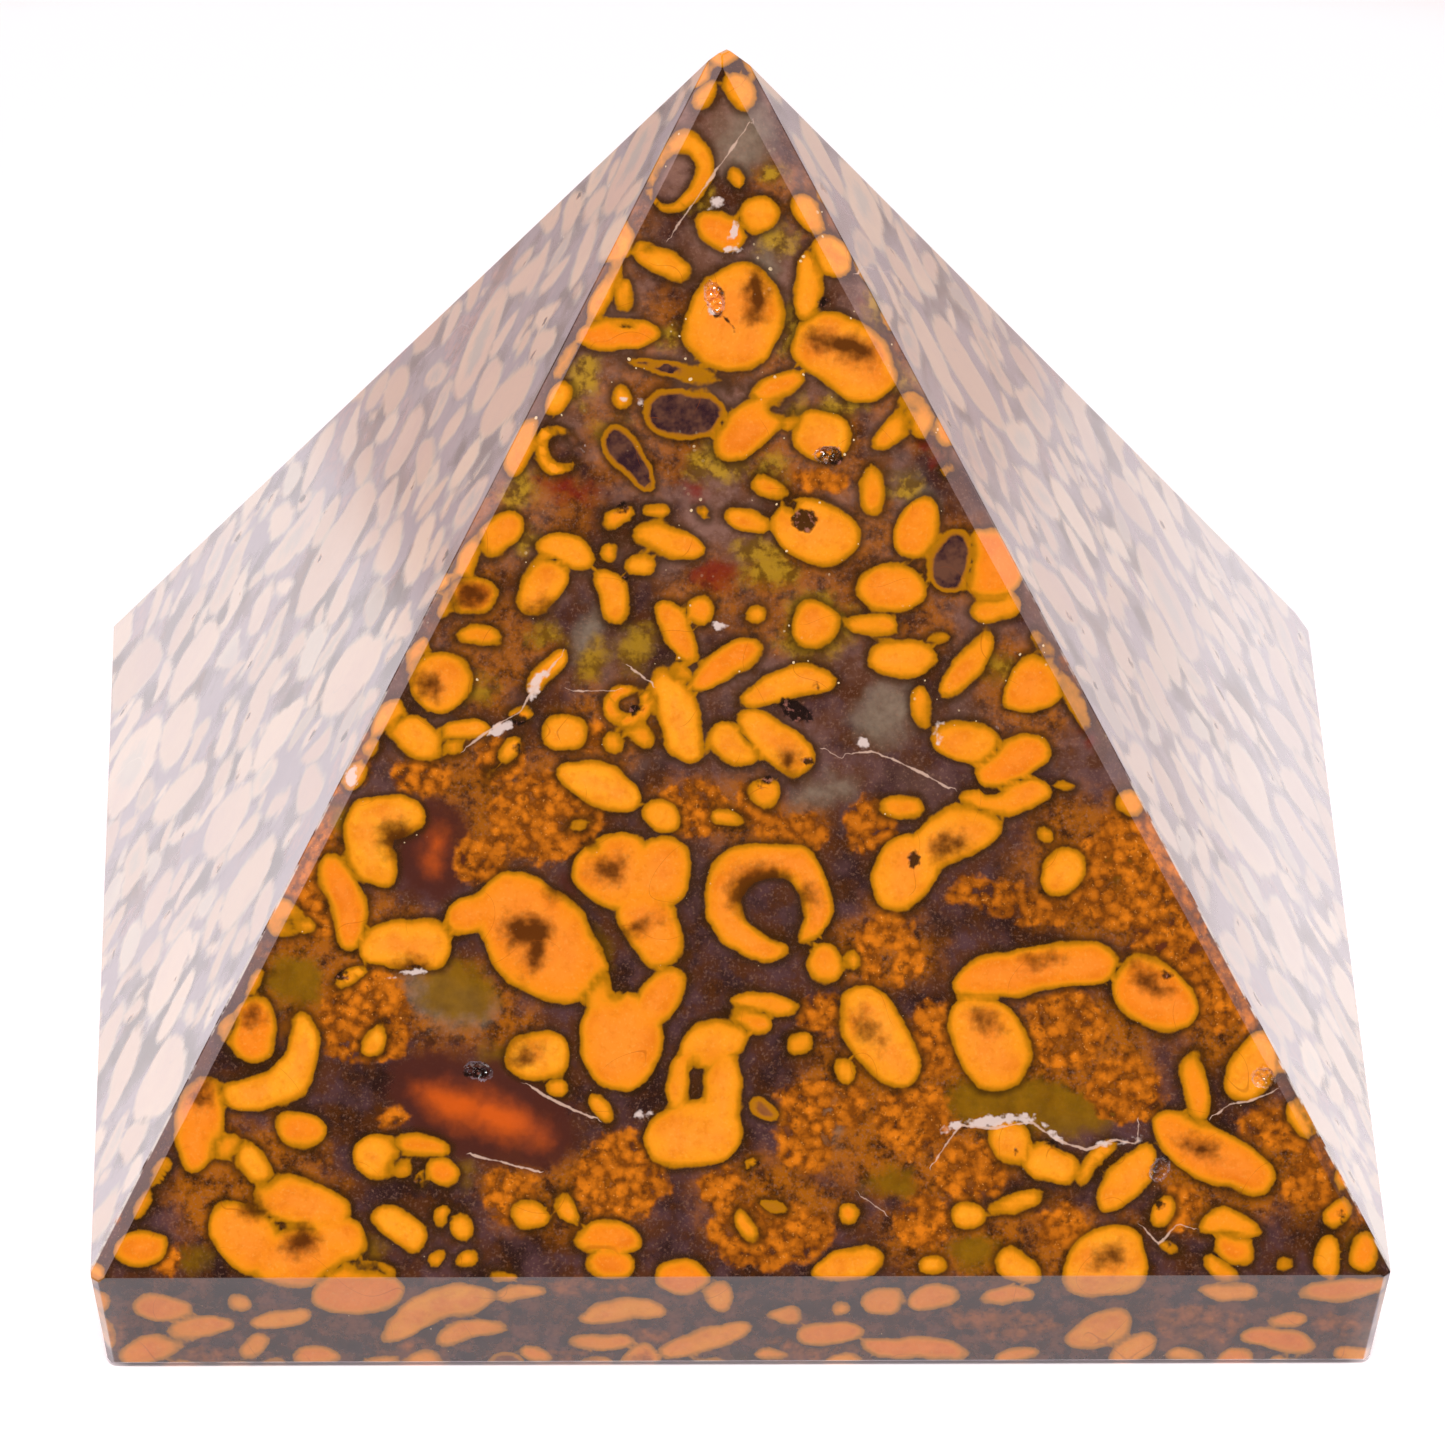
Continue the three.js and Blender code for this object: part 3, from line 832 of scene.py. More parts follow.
# %% List the small marks
CORES = [
    (5.0, 42.8, 2.4, 1.0, -10), (3.6, 43.2, 0.9, 0.6, 0), (0.7, 45.2, 0.8, 2.0, 0),
    (-12.4, 31.3, 1.4, 1.1, 0), (-14.4, 27.4, 1.2, 0.8, 0), (-9.3, 30.9, 0.9, 0.5, 20),
    (-9.8, 15.9, 1.9, 1.3, 20), (-9.5, 14.9, 0.7, 1.6, 0), (-5.9, 18.8, 1.4, 0.9, -10),
    (0.8, 17.8, 2.6, 2.2, 30), (2.6, 17.2, 1.8, 0.8, 30), (9.6, 19.9, 1.6, 0.9, 30),
    (-4.9, 16.0, 1.4, 0.2, 25), (5.9, 11.4, 1.4, 0.5, -60), (-9.9, 10.3, 0.9, 0.7, 0),
    (11.3, 11.6, 1.0, 0.5, -60), (18.8, 13.7, 1.5, 0.7, -50), (-22.3, 12.0, 0.9, 0.6, 60),
    (-15.2, 14.3, 0.9, 0.6, 0), (-20.4, 1.4, 1.5, 0.9, 0), (-22.5, 3.2, 0.9, 0.7, 0),
    (-24.9, 8.6, 1.2, 0.6, 80), (21.2, 6.1, 1.7, 0.5, -20), (16.9, 0.7, 1.4, 0.7, 20),
    (7.8, 7.2, 2.2, 1.4, 0), (-15.9, 20.0, 1.4, 1.2, 0), (13.9, 14.6, 1.4, 0.4, 8),
    (-8.5, 18.0, 0.6, 0.5, 0), (2.2, 23.8, 0.7, 0.7, 0), (-7.9, 5.6, 0.8, 0.5, 0),
]

HOLES = [
    (-1.25, 45.1, 1.7, 0.8, -70), (-0.6, 44.1, 1.4, 0.2, -50), (3.95, 37.8, 1.4, 0.9, 0),
    (3.05, 34.85, 1.3, 1.1, 0), (3.4, 27.3, 0.45, 0.4, 0), (2.6, 26.1, 2.0, 0.8, -30),
    (-4.9, 26.1, 0.6, 0.6, 0), (-5.3, 32.2, 0.6, 0.5, 0), (7.9, 19.2, 0.6, 1.0, 0),
    (3.2, 23.6, 0.6, 0.5, 0), (-15.0, 14.2, 0.8, 0.4, 0), (-12.0, 9.4, 1.2, 0.5, -20),
    (19.4, 5.0, 1.2, 0.7, 60), (24.1, 9.1, 1.0, 0.8, 0), (14.4, 5.85, 0.7, 0.4, 0),
    (12.8, 5.6, 0.5, 0.3, 0), (19.6, 13.9, 0.5, 0.4, 0), (3.8, 44.9, 0.7, 0.5, 60),
    (-5.4, 43.9, 0.8, 0.3, 0),
]

PALE = [
    (-5.2, 40.3, 1.4, 0.4, -20), (-7.15, 38.2, 0.5, 0.4, 0), (-0.7, 30.1, 1.0, 0.5, 20),
    (-1.2, 49.4, 1.0, 0.5, 20), (-0.3, 48.3, 0.3, 1.2, -20), (-0.5, 47.5, 1.4, 0.3, -15),
    (-1.2, 44.7, 0.8, 0.5, 0), (5.6, 24.3, 0.8, 0.5, 0), (9.2, 25.0, 0.3, 1.0, -10),
    (11.8, 25.4, 0.4, 0.3, 0), (-4.3, 7.5, 0.5, 0.6, 0), (-18.0, 23.2, 0.6, 1.2, 0),
    (-15.4, 13.9, 1.6, 0.3, 20), (9.9, 6.7, 1.5, 0.4, 35), (12.2, 6.95, 3.4, 0.55, 2),
    (14.4, 6.4, 1.6, 0.35, -30), (16.8, 6.05, 1.8, 0.3, 10), (18.3, 6.6, 0.3, 0.9, 0),
    (-11.2, 25.4, 1.6, 0.5, 35), (-9.4, 27.1, 1.3, 0.5, 60), (-4.6, 7.4, 1.0, 0.7, 20),
]

CRACKS = [
    [(-12.6, 24.4), (-11.6, 25.2), (-10.1, 26.1), (-9.7, 26.9), (-8.3, 28.6)],
    [(4.0, 24.2), (4.6, 23.9)],
    [(5.1, 24.1), (6.0, 24.2), (7.3, 23.7), (8.3, 23.2), (9.6, 22.5)],
    [(-7.8, 27.0), (-5.8, 27.0)],
    [(-5.0, 28.0), (-4.2, 27.4)],
    [(8.9, 5.2), (9.5, 6.2), (10.1, 6.95), (11.5, 6.8), (13.4, 7.1), (14.3, 6.4), (15.2, 6.0), (16.0, 5.8),
     (17.2, 6.3), (18.3, 6.0), (18.3, 6.9)],
    [(21.9, 7.4), (22.5, 7.9), (23.4, 8.0), (24.6, 8.5)],
    [(5.5, 3.7), (6.5, 3.0)],
    [(18.5, 2.2), (19.3, 1.4), (20.1, 2.4), (20.7, 2.2)],
    [(-9.8, 8.8), (-8.6, 8.1), (-6.8, 7.3)],
    [(-12.3, 5.6), (-9.5, 4.9)],
    [(0.4, 53.1), (-3.2, 48.0)],
]
print(len(CORES + HOLES + PALE), "small marks and", len(CRACKS), "cracks")

# %% [markdown]
# ## The front of the band
# The low band shows the same rock lower down, so it has a list of its own, with heights below
# the brow. On the slanting edges above it some stretches show no pebble at all. They are
# listed too, so that chance puts none there from the sides.

# %% List the pebbles of the band and the bare edges
BAND_STONES = [
    (-26.7, -1.8, 2.7, 1.8, 0), (-25.2, -3.0, 3.2, 1.3, 30, -90), (-27.2, -4.4, 3.4, 1.5, 20),
    (-23.3, -1.5, 1.2, 0.9, 0), (-21.2, -2.5, 3.1, 1.2, 15), (-17.7, -0.9, 4.0, 2.4, 0),
    (-14.2, -1.9, 6.0, 1.9, 28, -40), (-12.6, -3.2, 3.6, 1.1, 25, -60), (-19.6, -5.0, 2.2, 1.0, 0),
    (-16.6, -5.1, 1.6, 0.5, 0), (-5.5, -2.0, 4.1, 1.2, 0, -60), (-6.4, -4.0, 2.7, 1.1, 0),
    (-1.0, -1.2, 1.6, 1.4, 90), (-1.6, -3.9, 4.6, 1.4, 25), (2.0, -2.4, 1.5, 0.9, 0),
    (4.6, -1.8, 0.9, 0.8, 0), (6.7, -1.4, 1.9, 1.6, 0), (9.1, -1.4, 2.2, 1.6, 0),
    (4.2, -3.5, 3.0, 1.5, 0), (8.0, -4.5, 4.8, 1.3, -8), (16.6, -3.3, 3.2, 1.6, 38),
    (18.2, -4.4, 2.4, 1.7, 45), (25.0, -4.2, 3.7, 1.4, -18), (25.3, -2.9, 1.6, 0.9, 0),
    (27.8, -0.9, 4.2, 1.3, 12), (28.7, -4.8, 2.0, 1.0, 0), (20.6, -5.0, 1.6, 0.8, 0),
    (-10.2, -1.0, 2.2, 0.9, 10), (-9.6, -4.6, 1.8, 0.9, -20), (12.2, -1.2, 2.4, 1.2, 0),
    (22.4, -1.0, 2.6, 1.1, -10), (1.4, -4.8, 1.6, 0.7, 0), (12.8, -4.9, 2.4, 0.8, 0),
    (-22.6, -4.2, 1.6, 0.9, 40),
]

BAND_RUST = [
    (13.0, -3.1, 4.0, 1.6, 0), (21.3, -2.9, 4.4, 2.0, 0), (-4.0, -4.0, 2.4, 1.2, 0),
    (-8.5, -4.9, 3.0, 1.0, 0), (27.5, -3.0, 2.0, 1.2, 0), (-7.5, -0.5, 5.0, 0.9, 0),
    (10.8, -2.6, 2.2, 1.2, 0), (-29.0, -3.4, 1.2, 2.0, 0),
]

BARE_EDGES = [
    (20.4, 18.0, 13.6, 1.6, -62), (10.9, 35.8, 2.8, 1.6, -62), (5.9, 45.3, 1.7, 1.6, -62),
    (2.4, 51.8, 4.0, 1.6, -62), (-24.9, 10.0, 2.3, 1.6, 62), (-22.8, 14.0, 3.4, 1.6, 62),
    (-19.9, 19.8, 5.1, 1.6, 62), (-11.7, 35.8, 2.8, 1.6, 62),
]
print(len(BAND_STONES), "pebbles on the band, and", len(BARE_EDGES), "bare stretches of edge")

# %% [markdown]
# ## The bodies of the front
# Each row now becomes a body in the rock. A ring is one long body bent almost into a circle,
# which is simpler than cutting a hole in a pebble, and gives the opening as well. Each pebble
# also gets a tone, 1 for a solid one and 0 for a shell, and a warmth by chance.

# %% Make the bodies of the front
chance = random.Random(29)
front, front_band = SLOPES["front"], BANDS["front"]
pebbles = [[Body(front, *row)] for row in STONES]
pebbles += [[Body(front_band, *row)] for row in BAND_STONES]
pebbles += [[Body(front, *row) for row in rows] for rows in LOBED]
for across, up_slope, length, width, turn, band, opening, gap in RINGS:
    way = 360 - gap
    ring = (length + width) / 4 - band / 2
    arc = math.radians(way) * ring
    angle = opening + 180
    start_across = across + ring * math.cos(math.radians(angle))
    start_up = up_slope + ring * math.sin(math.radians(angle))
    bend = way * (arc + band) / arc
    pebbles.append([Body(front, start_across, start_up, arc + band, band, angle + 90, bend, 0, width)])
tones = [(1.0, chance.random()) for _ in pebbles]
for row in GHOSTS:
    pebbles.append([Body(front, *row)])
    tones.append((0.0, chance.random()))
read_by_eye = len(pebbles)
print(read_by_eye, "pebbles are read from the front")

# %% [markdown]
# ## The pebbles of the other faces
# The rest of the rock is packed like the front face: many small pebbles, a few long ones, and
# some grown together. Placing them at random would pile them up, so each new pebble, from
# the largest down, is tried in several places until it lies clear of the others. The bare
# stretches of the edges count as others. First, a random place on a random face is needed,
# and a large face has to be picked more often than a small one.

# %% Pick a random place
SLOPE_LENGTH = (tip - front.origin).length


class Underside:
    """The frame of the underside, which looks down."""

    across = Vector((1.0, 0.0, 0.0))
    up = Vector((0.0, -1.0, 0.0))
    out = Vector((0.0, 0.0, -1.0))

    def point(self, across, up):
        return self.across * across + self.up * up


underside = Underside()
AREAS = {"underside": 4 * HALF_SIDE ** 2}
for side in SIDES:
    AREAS[side + " slope"] = HALF_SIDE * SLOPE_LENGTH
    AREAS[side + " band"] = 2 * HALF_SIDE * BAND_HEIGHT
others = [kind for kind in AREAS if not kind.startswith("front")]
other_area = sum(AREAS[kind] for kind in others)


def random_place(kinds):
    """A random face of the named kinds, and a place on it."""
    kind = chance.choices(kinds, [AREAS[item] for item in kinds])[0]
    if kind == "underside":
        return underside, chance.uniform(-HALF_SIDE, HALF_SIDE), chance.uniform(-HALF_SIDE, HALF_SIDE)
    side, part = kind.split()
    if part == "band":
        return BANDS[side], chance.uniform(-HALF_SIDE, HALF_SIDE), chance.uniform(-BAND_HEIGHT, 0)
    up = SLOPE_LENGTH * (1 - math.sqrt(chance.random()))
    half = HALF_SIDE * (1 - up / SLOPE_LENGTH)
    return SLOPES[side], chance.uniform(-half, half), up


print("The faces that aren't listed have", round(other_area), "square millimetres")

# %% Pack the rock
PEBBLES_PER_MM2 = 0.115
SMALLEST, LARGEST = 1.0, 6.5
MIDDLE_SIZE, SIZE_SPREAD = 0.95, 0.45
CRUMBS = 26
TRIES = 60
LOBED_SHARE = 0.3
LOBED_FROM = 2.0
FAINT_SHARE = 0.07
balls = np.concatenate([body.balls() for bodies in pebbles for body in bodies])


def keep_clear(rows):
    """Keeps new pebbles away from these places of the front face."""
    global balls
    balls = np.concatenate([balls] + [Body(front, *row).balls() for row in rows])


def is_clear(new_balls, closeness):
    """True if no new ball runs into an older one by more than the closeness allows."""
    apart = np.linalg.norm(balls[:, None, :3] - new_balls[None, :, :3], axis=2)
    return bool(np.all(apart - balls[:, None, 3] - new_balls[None, :, 3] > -closeness))


def random_pebble(kinds, length):
    """A pebble of this length on a random face of the named kinds, sometimes with a second lobe."""
    face, across, up_slope = random_place(kinds)
    width = length * chance.uniform(0.36, 0.8)
    turn = chance.uniform(0, 360)
    bend = chance.choice((0, 0, 25, -25, 60, -60, 100)) if width < 0.6 * length else 0
    depth = width * chance.uniform(0.8, 1.3)
    taper = chance.uniform(-0.3, 0.3)
    bodies = [Body(face, across, up_slope, length, width, turn, bend, taper, depth)]
    if length > LOBED_FROM and chance.random() < LOBED_SHARE:
        way = math.radians(turn)
        aside = turn + chance.choice((50, -50, 90))
        bodies.append(Body(
            face, across + 0.3 * length * math.cos(way), up_slope + 0.3 * length * math.sin(way),
            0.7 * length, 0.8 * width, aside, 0, 0, depth,
        ))
    return bodies


def pack(kinds, sizes, closeness):
    """Places a pebble of each size where it is clear of the others, the largest first."""
    global balls
    for size in sorted(sizes, reverse=True):
        for _ in range(TRIES):
            bodies = random_pebble(kinds, size)
            new_balls = np.concatenate([body.balls() for body in bodies])
            if is_clear(new_balls, closeness):
                balls = np.concatenate((balls, new_balls))
                pebbles.append(bodies)
                tones.append((0.2 if chance.random() < FAINT_SHARE else 1.0, chance.random()))
                break


keep_clear(BARE_EDGES)
count = int(PEBBLES_PER_MM2 * other_area)
sizes = [chance.lognormvariate(MIDDLE_SIZE, SIZE_SPREAD) for _ in range(count)]
pack(others, [min(LARGEST, max(SMALLEST, size)) for size in sizes], 0.1)
keep_clear(EMBERS + OLIVE + GREY + HOLES + CORES)
pack(["front slope"], [chance.uniform(0.6, 1.6) for _ in range(CRUMBS)], -0.25)
print(len(pebbles), "pebbles in all")

# %% [markdown]
# ## The depths of all the marks
# Every corner of the mesh is now told how deep it lies in the nearest pebble, and in the
# nearest patch, core, hole and crystal. The other faces get patches by chance, as many on
# each square millimetre as the front has, and their pebbles get cores and holes.

# %% Measure the depths
# Kind, patches on a square millimetre, shortest and longest, narrowest and widest for its length
SCATTERED = [
    ("rust", 0.022, (2.0, 5.5), (0.5, 0.9)),
    ("stain", 0.014, (3.0, 9.0), (0.5, 0.9)),
    ("olive", 0.016, (1.0, 2.6), (0.5, 0.9)),
    ("grey", 0.006, (2.0, 5.0), (0.4, 0.8)),
]
stone_depths = Depths()
for owner, bodies in enumerate(pebbles):
    stone_depths.add(bodies, owner)

listed = {
    "window": WINDOWS, "core": CORES, "hole": HOLES, "rust": RUST, "stain": STAINS, "olive": OLIVE,
    "red": RED, "pale": PALE, "ember": EMBERS, "grey": GREY,
}
depths = {kind: Depths() for kind in listed}
for kind, rows in listed.items():
    for row in rows:
        depths[kind].add([Body(front, *row)])
for row in BAND_RUST:
    depths["rust"].add([Body(front_band, *row)])

for kind, per_mm2, lengths, shares in SCATTERED:
    for _ in range(int(per_mm2 * other_area)):
        length = chance.uniform(*lengths)
        place = random_place(others)
        width = length * chance.uniform(*shares)
        depths[kind].add([Body(*place, length, width, chance.uniform(0, 180))])
print("The pebbles and", len(depths), "other kinds of mark are measured")

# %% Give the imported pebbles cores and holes
CORE_CHANCE = 0.3
HOLE_CHANCE = 0.15
CORE_FROM = 0.6


def add_inside(kind, body, length, width, away=(0.0, 0.0, 0.0)):
    """A small body inside a pebble, turned as the pebble is, and away from its middle."""
    inner = Body(front, 0, 0, length, width)
    inner.middle = body.middle + body.axes @ (body.half_size * np.array(away))
    inner.axes = body.axes
    depths[kind].add([inner])


for body, *_ in pebbles[read_by_eye:]:
    luck = chance.random()
    if luck < CORE_CHANCE and body.half_size[1] > CORE_FROM:
        add_inside("core", body, body.half_size[0], 0.7 * body.half_size[1])
    elif luck < CORE_CHANCE + HOLE_CHANCE:
        length, width = chance.uniform(0.4, 0.9), chance.uniform(0.3, 0.6)
        add_inside("hole", body, length, width, (chance.uniform(-0.5, 0.5), 0.7, 0.0))
print("Cores cover", round(100 * float(np.mean(depths["core"].nearest > 0)), 1), "% of the corners")

# %% [markdown]
# ## The cracks
# The healed cracks are thin lines, so a depth would be of no use: what the finish needs is how
# far a corner lies from the line, and on which side, because noise then moves the line to and
# fro. The cracks of the front are listed, and those of the other slopes wander by chance.

# %% Trace the cracks
CRACKS_PER_SLOPE = 7
crack = np.full(len(points), FARTHEST)
crack_near = np.full(len(points), FARTHEST)


def trace(face, line):
    """Keeps, for the corners close to a line, the distance from it, above zero on its left."""
    global crack, crack_near
    for start, end in zip(line, line[1:]):
        a, b = np.array(face.point(*start)), np.array(face.point(*end))
        way = (b - a) / np.linalg.norm(b - a)
        left = np.cross(np.array(face.out), way)
        offset = points - a
        along = np.clip(offset @ way, 0, np.linalg.norm(b - a))
        away = np.linalg.norm(offset - np.outer(along, way), axis=1)
        nearer = away < crack_near
        crack_near = np.where(nearer, away, crack_near)
        crack = np.where(nearer, np.copysign(away, offset @ left), crack)


def wandering_line():
    """A line that starts at a random place of a slope and turns a little at every step."""
    up_slope = SLOPE_LENGTH * 0.8 * (1 - math.sqrt(chance.random()))
    half = HALF_SIDE * (1 - up_slope / SLOPE_LENGTH) - 4
    place = Vector((chance.uniform(-half, half), up_slope))
    turn = chance.uniform(0, math.tau)
    line = [tuple(place)]
    for _ in range(chance.randint(3, 6)):
        turn += chance.uniform(-0.7, 0.7)
        place += Vector((math.cos(turn), math.sin(turn))) * chance.uniform(0.8, 1.8)
        line.append(tuple(place))
    return line


for line in CRACKS:
    trace(front, line)
for name in ("right", "back", "left"):
    for _ in range(CRACKS_PER_SLOPE):
        trace(SLOPES[name], wandering_line())
print(round(100 * float(np.mean(crack_near < 0.1)), 2), "% of the corners lie beside a crack")

# %% [markdown]
# ## The highlit edges
# Along the two front edges a thin pale line is painted on the outer border of each flat, a
# painted highlight. The finish draws it by the distance from the border, so every corner is
# told how far it is.

# %% Measure the way to the highlit edges
def away_from_line(start, end):
    """How far every corner lies from the line through two points."""
    way = np.array((end - start).normalized())
    return np.linalg.norm(np.cross(points - np.array(start), way), axis=1)


# The distance from the border line along which the highlight is painted
highlit = np.full(len(points), FARTHEST)
for at, other, at_foot, at_tip in (
    (front_left, back_left, FRONT_LEFT_FLAT, FRONT_LEFT_FLAT),
    (front_right, back_right, FRONT_RIGHT_FLAT_AT_FOOT, FRONT_RIGHT_FLAT_AT_TIP),
):
    start = beside_edge(at.brow, tip, other.brow, at.brow, at_foot)
    end = beside_edge(at.brow, tip, other.brow, tip, at_tip)
    highlit = np.minimum(highlit, away_from_line(start, end))
print(int(np.sum(highlit < 0.1)), "corners lie on a worn border")

# %% [markdown]
# ## Depths for the finish
# The measures go to the mesh as attributes, one number at each corner, which the finish reads.
# Vertex colours could carry them too, but they are rounded and hold only four at a time.

# %% Hand the depths to the mesh
PEBBLE_GAP = 0.1
tone_of = np.array(tones)
measures = {
    "pebble": np.minimum(stone_depths.outlined(PEBBLE_GAP), -depths["window"].nearest),
    "tone": tone_of[stone_depths.owner, 0],
    "warmth": tone_of[stone_depths.owner, 1],
    "crack": np.clip(crack, -FARTHEST, FARTHEST),
    "crack_near": crack_near,
    "highlit": highlit,
}
for kind in ("core", "hole", "rust", "olive", "red", "stain", "pale", "ember", "grey"):
    measures[kind] = depths[kind].nearest
for name, values in measures.items():
    attribute = stone_mesh.attributes.new(name, "FLOAT", "POINT")
    attribute.data.foreach_set("value", values.astype(np.float32))
print("Pebbles cover", round(100 * float(np.mean(measures["pebble"] > 0))), "% of the corners")

# %% [markdown]
# ## The finish
# The polish is the same everywhere, and the colours aren't. Each colour is laid over the one
# before it, as the rock grew: quartz first, then the olive and rusty patches, the pebbles,
# and the cracks and hollows last. Noise in the rock's own coordinates frays every outline.
# It could be painted as a picture, but a picture blurs when someone looks closely, and noise
# doesn't. Grain finer than a picture of the stone can show is left out, because it only
# takes time.

# %% Start the finish
FINEST_GRAIN = 0.07
FRAY_ROUGHNESS = 0.55
jasper, tree, output = new_material("polished_jasper")
place = add_node(tree, "ShaderNodeVectorMath", {
    0: add_node(tree, "ShaderNodeTexCoord").outputs["Object"], 3: 1 / MM,
}, operation="SCALE").outputs[0]


def hue(*screen):
    """A colour as a screen shows it, 0 to 255, in the linear values that a shader takes."""
    shares = [value / 255 for value in screen]
    linear = [v / 12.92 if v <= 0.04045 else ((v + 0.055) / 1.055) ** 2.4 for v in shares]
    return (*linear, 1.0)


def measure(name):
    """A depth that the mesh carries."""
    return add_node(tree, "ShaderNodeAttribute", attribute_name=name).outputs["Fac"]


def times(first, second):
    return calculate(tree, "MULTIPLY", first, second)


def minus(first, second):
    return calculate(tree, "SUBTRACT", first, second)


def graded(value, slope, start):
    """The value times the slope, plus the start."""
    return calculate(tree, "MULTIPLY_ADD", value, slope, start)


def ramp(value, start, end, low_value=0.0, high_value=1.0):
    return blend_range(tree, value, start, end, low_value, high_value)


def cloud(scale, detail=2, roughness=0.5, shift=0.0):
    """Soft noise about one over scale millimetres wide, from 0 to 1, shifted to be its own."""
    kept = min(detail, max(0, int(math.log2(1 / (FINEST_GRAIN * scale)))))
    moved = add_node(
        tree, "ShaderNodeVectorMath", {0: place, 1: (shift, -shift, 0.7 * shift)}, operation="ADD",
    )
    grain = add_node(tree, "ShaderNodeTexNoise", {
        "Vector": moved.outputs[0], "Scale": scale, "Detail": kept, "Roughness": roughness,
    }).outputs["Fac"]
    if kept == detail:
        return grain
    # Noise spreads its height over all its layers, so with fewer of them each is made lower
    kept_height = sum(roughness ** layer for layer in range(kept + 1))
    share = kept_height / sum(roughness ** layer for layer in range(detail + 1))
    return graded(grain, share, 0.5 - 0.5 * share)


def frayed(value, scale, amount, shift=0.0, detail=2):
    """A depth moved in and out by noise, by about half the amount each way."""
    return graded(minus(cloud(scale, detail, FRAY_ROUGHNESS, shift), 0.5), amount, value)


def over(share, below, above):
    """The colour above laid over the one below, where share is 1."""
    inputs = {"Factor": share, 6: below, 7: above}
    return add_node(tree, "ShaderNodeMix", inputs, data_type="RGBA").outputs[2]


print("A pebble's orange in a shader's values:", [round(part, 3) for part in hue(255, 166, 34)])

# %% [markdown]
# ## The quartz
# The ground of the rock is dark quartz, purple-brown below and clearer and mauve higher up.
# Rusty water has stained it round the pebbles, and some places stayed grey. Each tone runs
# into the next along soft noise, as the stains did, and hard outlines would look painted.

# %% Colour the quartz
height = add_node(tree, "ShaderNodeSeparateXYZ", {0: place}).outputs["Z"]
upper = ramp(height, 16.0, 40.0)
dark_quartz = over(ramp(cloud(0.4, 4, 0.6, 3.0), 0.36, 0.64), hue(44, 22, 18), hue(86, 56, 58))
mauve_quartz = over(ramp(cloud(0.35, 4, 0.6, 7.0), 0.36, 0.62), hue(56, 29, 27), hue(142, 102, 88))
colour = over(times(upper, 0.9), dark_quartz, mauve_quartz)
brown_share = times(ramp(cloud(0.7, 5, 0.65, 11.0), 0.4, 0.62), graded(upper, -0.15, 0.75))
colour = over(brown_share, colour, hue(84, 42, 6))

stain_share = ramp(frayed(measure("stain"), 0.9, 3.0, 23.0, 5), -0.9, 1.1)
stain_colour = over(ramp(cloud(1.3, 6, 0.7, 27.0), 0.34, 0.6), hue(66, 32, 2), hue(174, 96, 8))
colour = over(times(stain_share, graded(upper, -0.25, 0.85)), colour, stain_colour)
grey_share = ramp(frayed(measure("grey"), 1.2, 1.6, 29.0, 4), -0.6, 0.9)
grey_quartz = over(cloud(2.2, 5, 0.7, 33.0), hue(74, 58, 48), hue(170, 150, 128))
colour = over(times(grey_share, 0.7), colour, grey_quartz)
grain = ramp(cloud(7.0, 3, 0.7, 5.0), 0.5, 0.72)
colour = over(times(grain, 0.4), colour, hue(152, 112, 92))
print("The quartz takes", len(tree.nodes), "nodes")

# %% [markdown]
# ## The olive, red and glowing patches
# Here and there the quartz is olive or red, and in two places so clear that light comes back
# orange from inside it. Glass could show that light, but a solid stone of glass takes long to
# render, and an orange that grows with the depth in the patch looks the same.

# %% Colour the olive, red and glowing patches
olive_share = ramp(frayed(measure("olive"), 1.3, 1.5, 31.0, 4), -0.5, 0.45)
low_olive = over(cloud(1.2, 4, 0.6, 37.0), hue(84, 52, 2), hue(156, 110, 8))
high_olive = over(ramp(cloud(1.6, 4, 0.6, 38.0), 0.4, 0.6), hue(100, 68, 12), hue(182, 138, 32))
colour = over(times(olive_share, 0.88), colour, over(upper, low_olive, high_olive))
red_share = ramp(frayed(measure("red"), 1.2, 1.9, 41.0, 5), -0.4, 0.5)
colour = over(times(red_share, 0.7), colour, hue(124, 24, 18))
ember_depth = frayed(measure("ember"), 0.8, 2.0, 43.0, 4)
ember_colour = over(ramp(ember_depth, 0.7, 3.2), hue(78, 36, 28), hue(214, 90, 20))
colour = over(times(ramp(ember_depth, -0.5, 0.5), 0.92), colour, ember_colour)
print("With the patches it takes", len(tree.nodes), "nodes")

# %% [markdown]
# ## The rust
# The rust is a crust of small lumps in rust colours, with painted light on their tops and
# painted shade between them. Round cells give the lumps, and noise breaks them up, because
# cells alone would look like a net. Dark specks and wide browner clouds lie over them, and
# the light specks on them are painted highlights.

# %% Colour the rust
rust_share = ramp(frayed(measure("rust"), 1.2, 1.5, 47.0, 5), -0.2, 0.16)
lumps = add_node(tree, "ShaderNodeTexVoronoi", {"Vector": place, "Scale": 1.8, "Randomness": 1.0})
lump_light = frayed(minus(0.9, lumps.outputs["Distance"]), 1.7, 2.3, 53.0, 7)
rust_share = times(rust_share, ramp(lump_light, -0.1, 0.14, 0.35, 1.0))
# Rust colours with painted light on the lumps' tops and painted shade between them
rust_lit_and_shaded = over(ramp(lump_light, -0.2, 1.0), hue(92, 42, 2), hue(222, 122, 18))
# The light specks are painted highlights; the dark specks and browner clouds are rust
for wisps, start, end, strength, tone in (
    (cloud(2.4, 5, 0.7, 59.0), 0.54, 0.66, 0.6, hue(66, 34, 6)),
    (cloud(7.0, 3, 0.7, 60.0), 0.6, 0.7, 0.5, hue(250, 170, 84)),
    (cloud(0.5, 4, 0.65, 58.0), 0.44, 0.62, 0.3, hue(104, 50, 4)),
):
    rust_lit_and_shaded = over(times(ramp(wisps, start, end), strength), rust_lit_and_shaded, tone)
colour = over(rust_share, colour, rust_lit_and_shaded)
print("With the rust it takes", len(tree.nodes), "nodes")

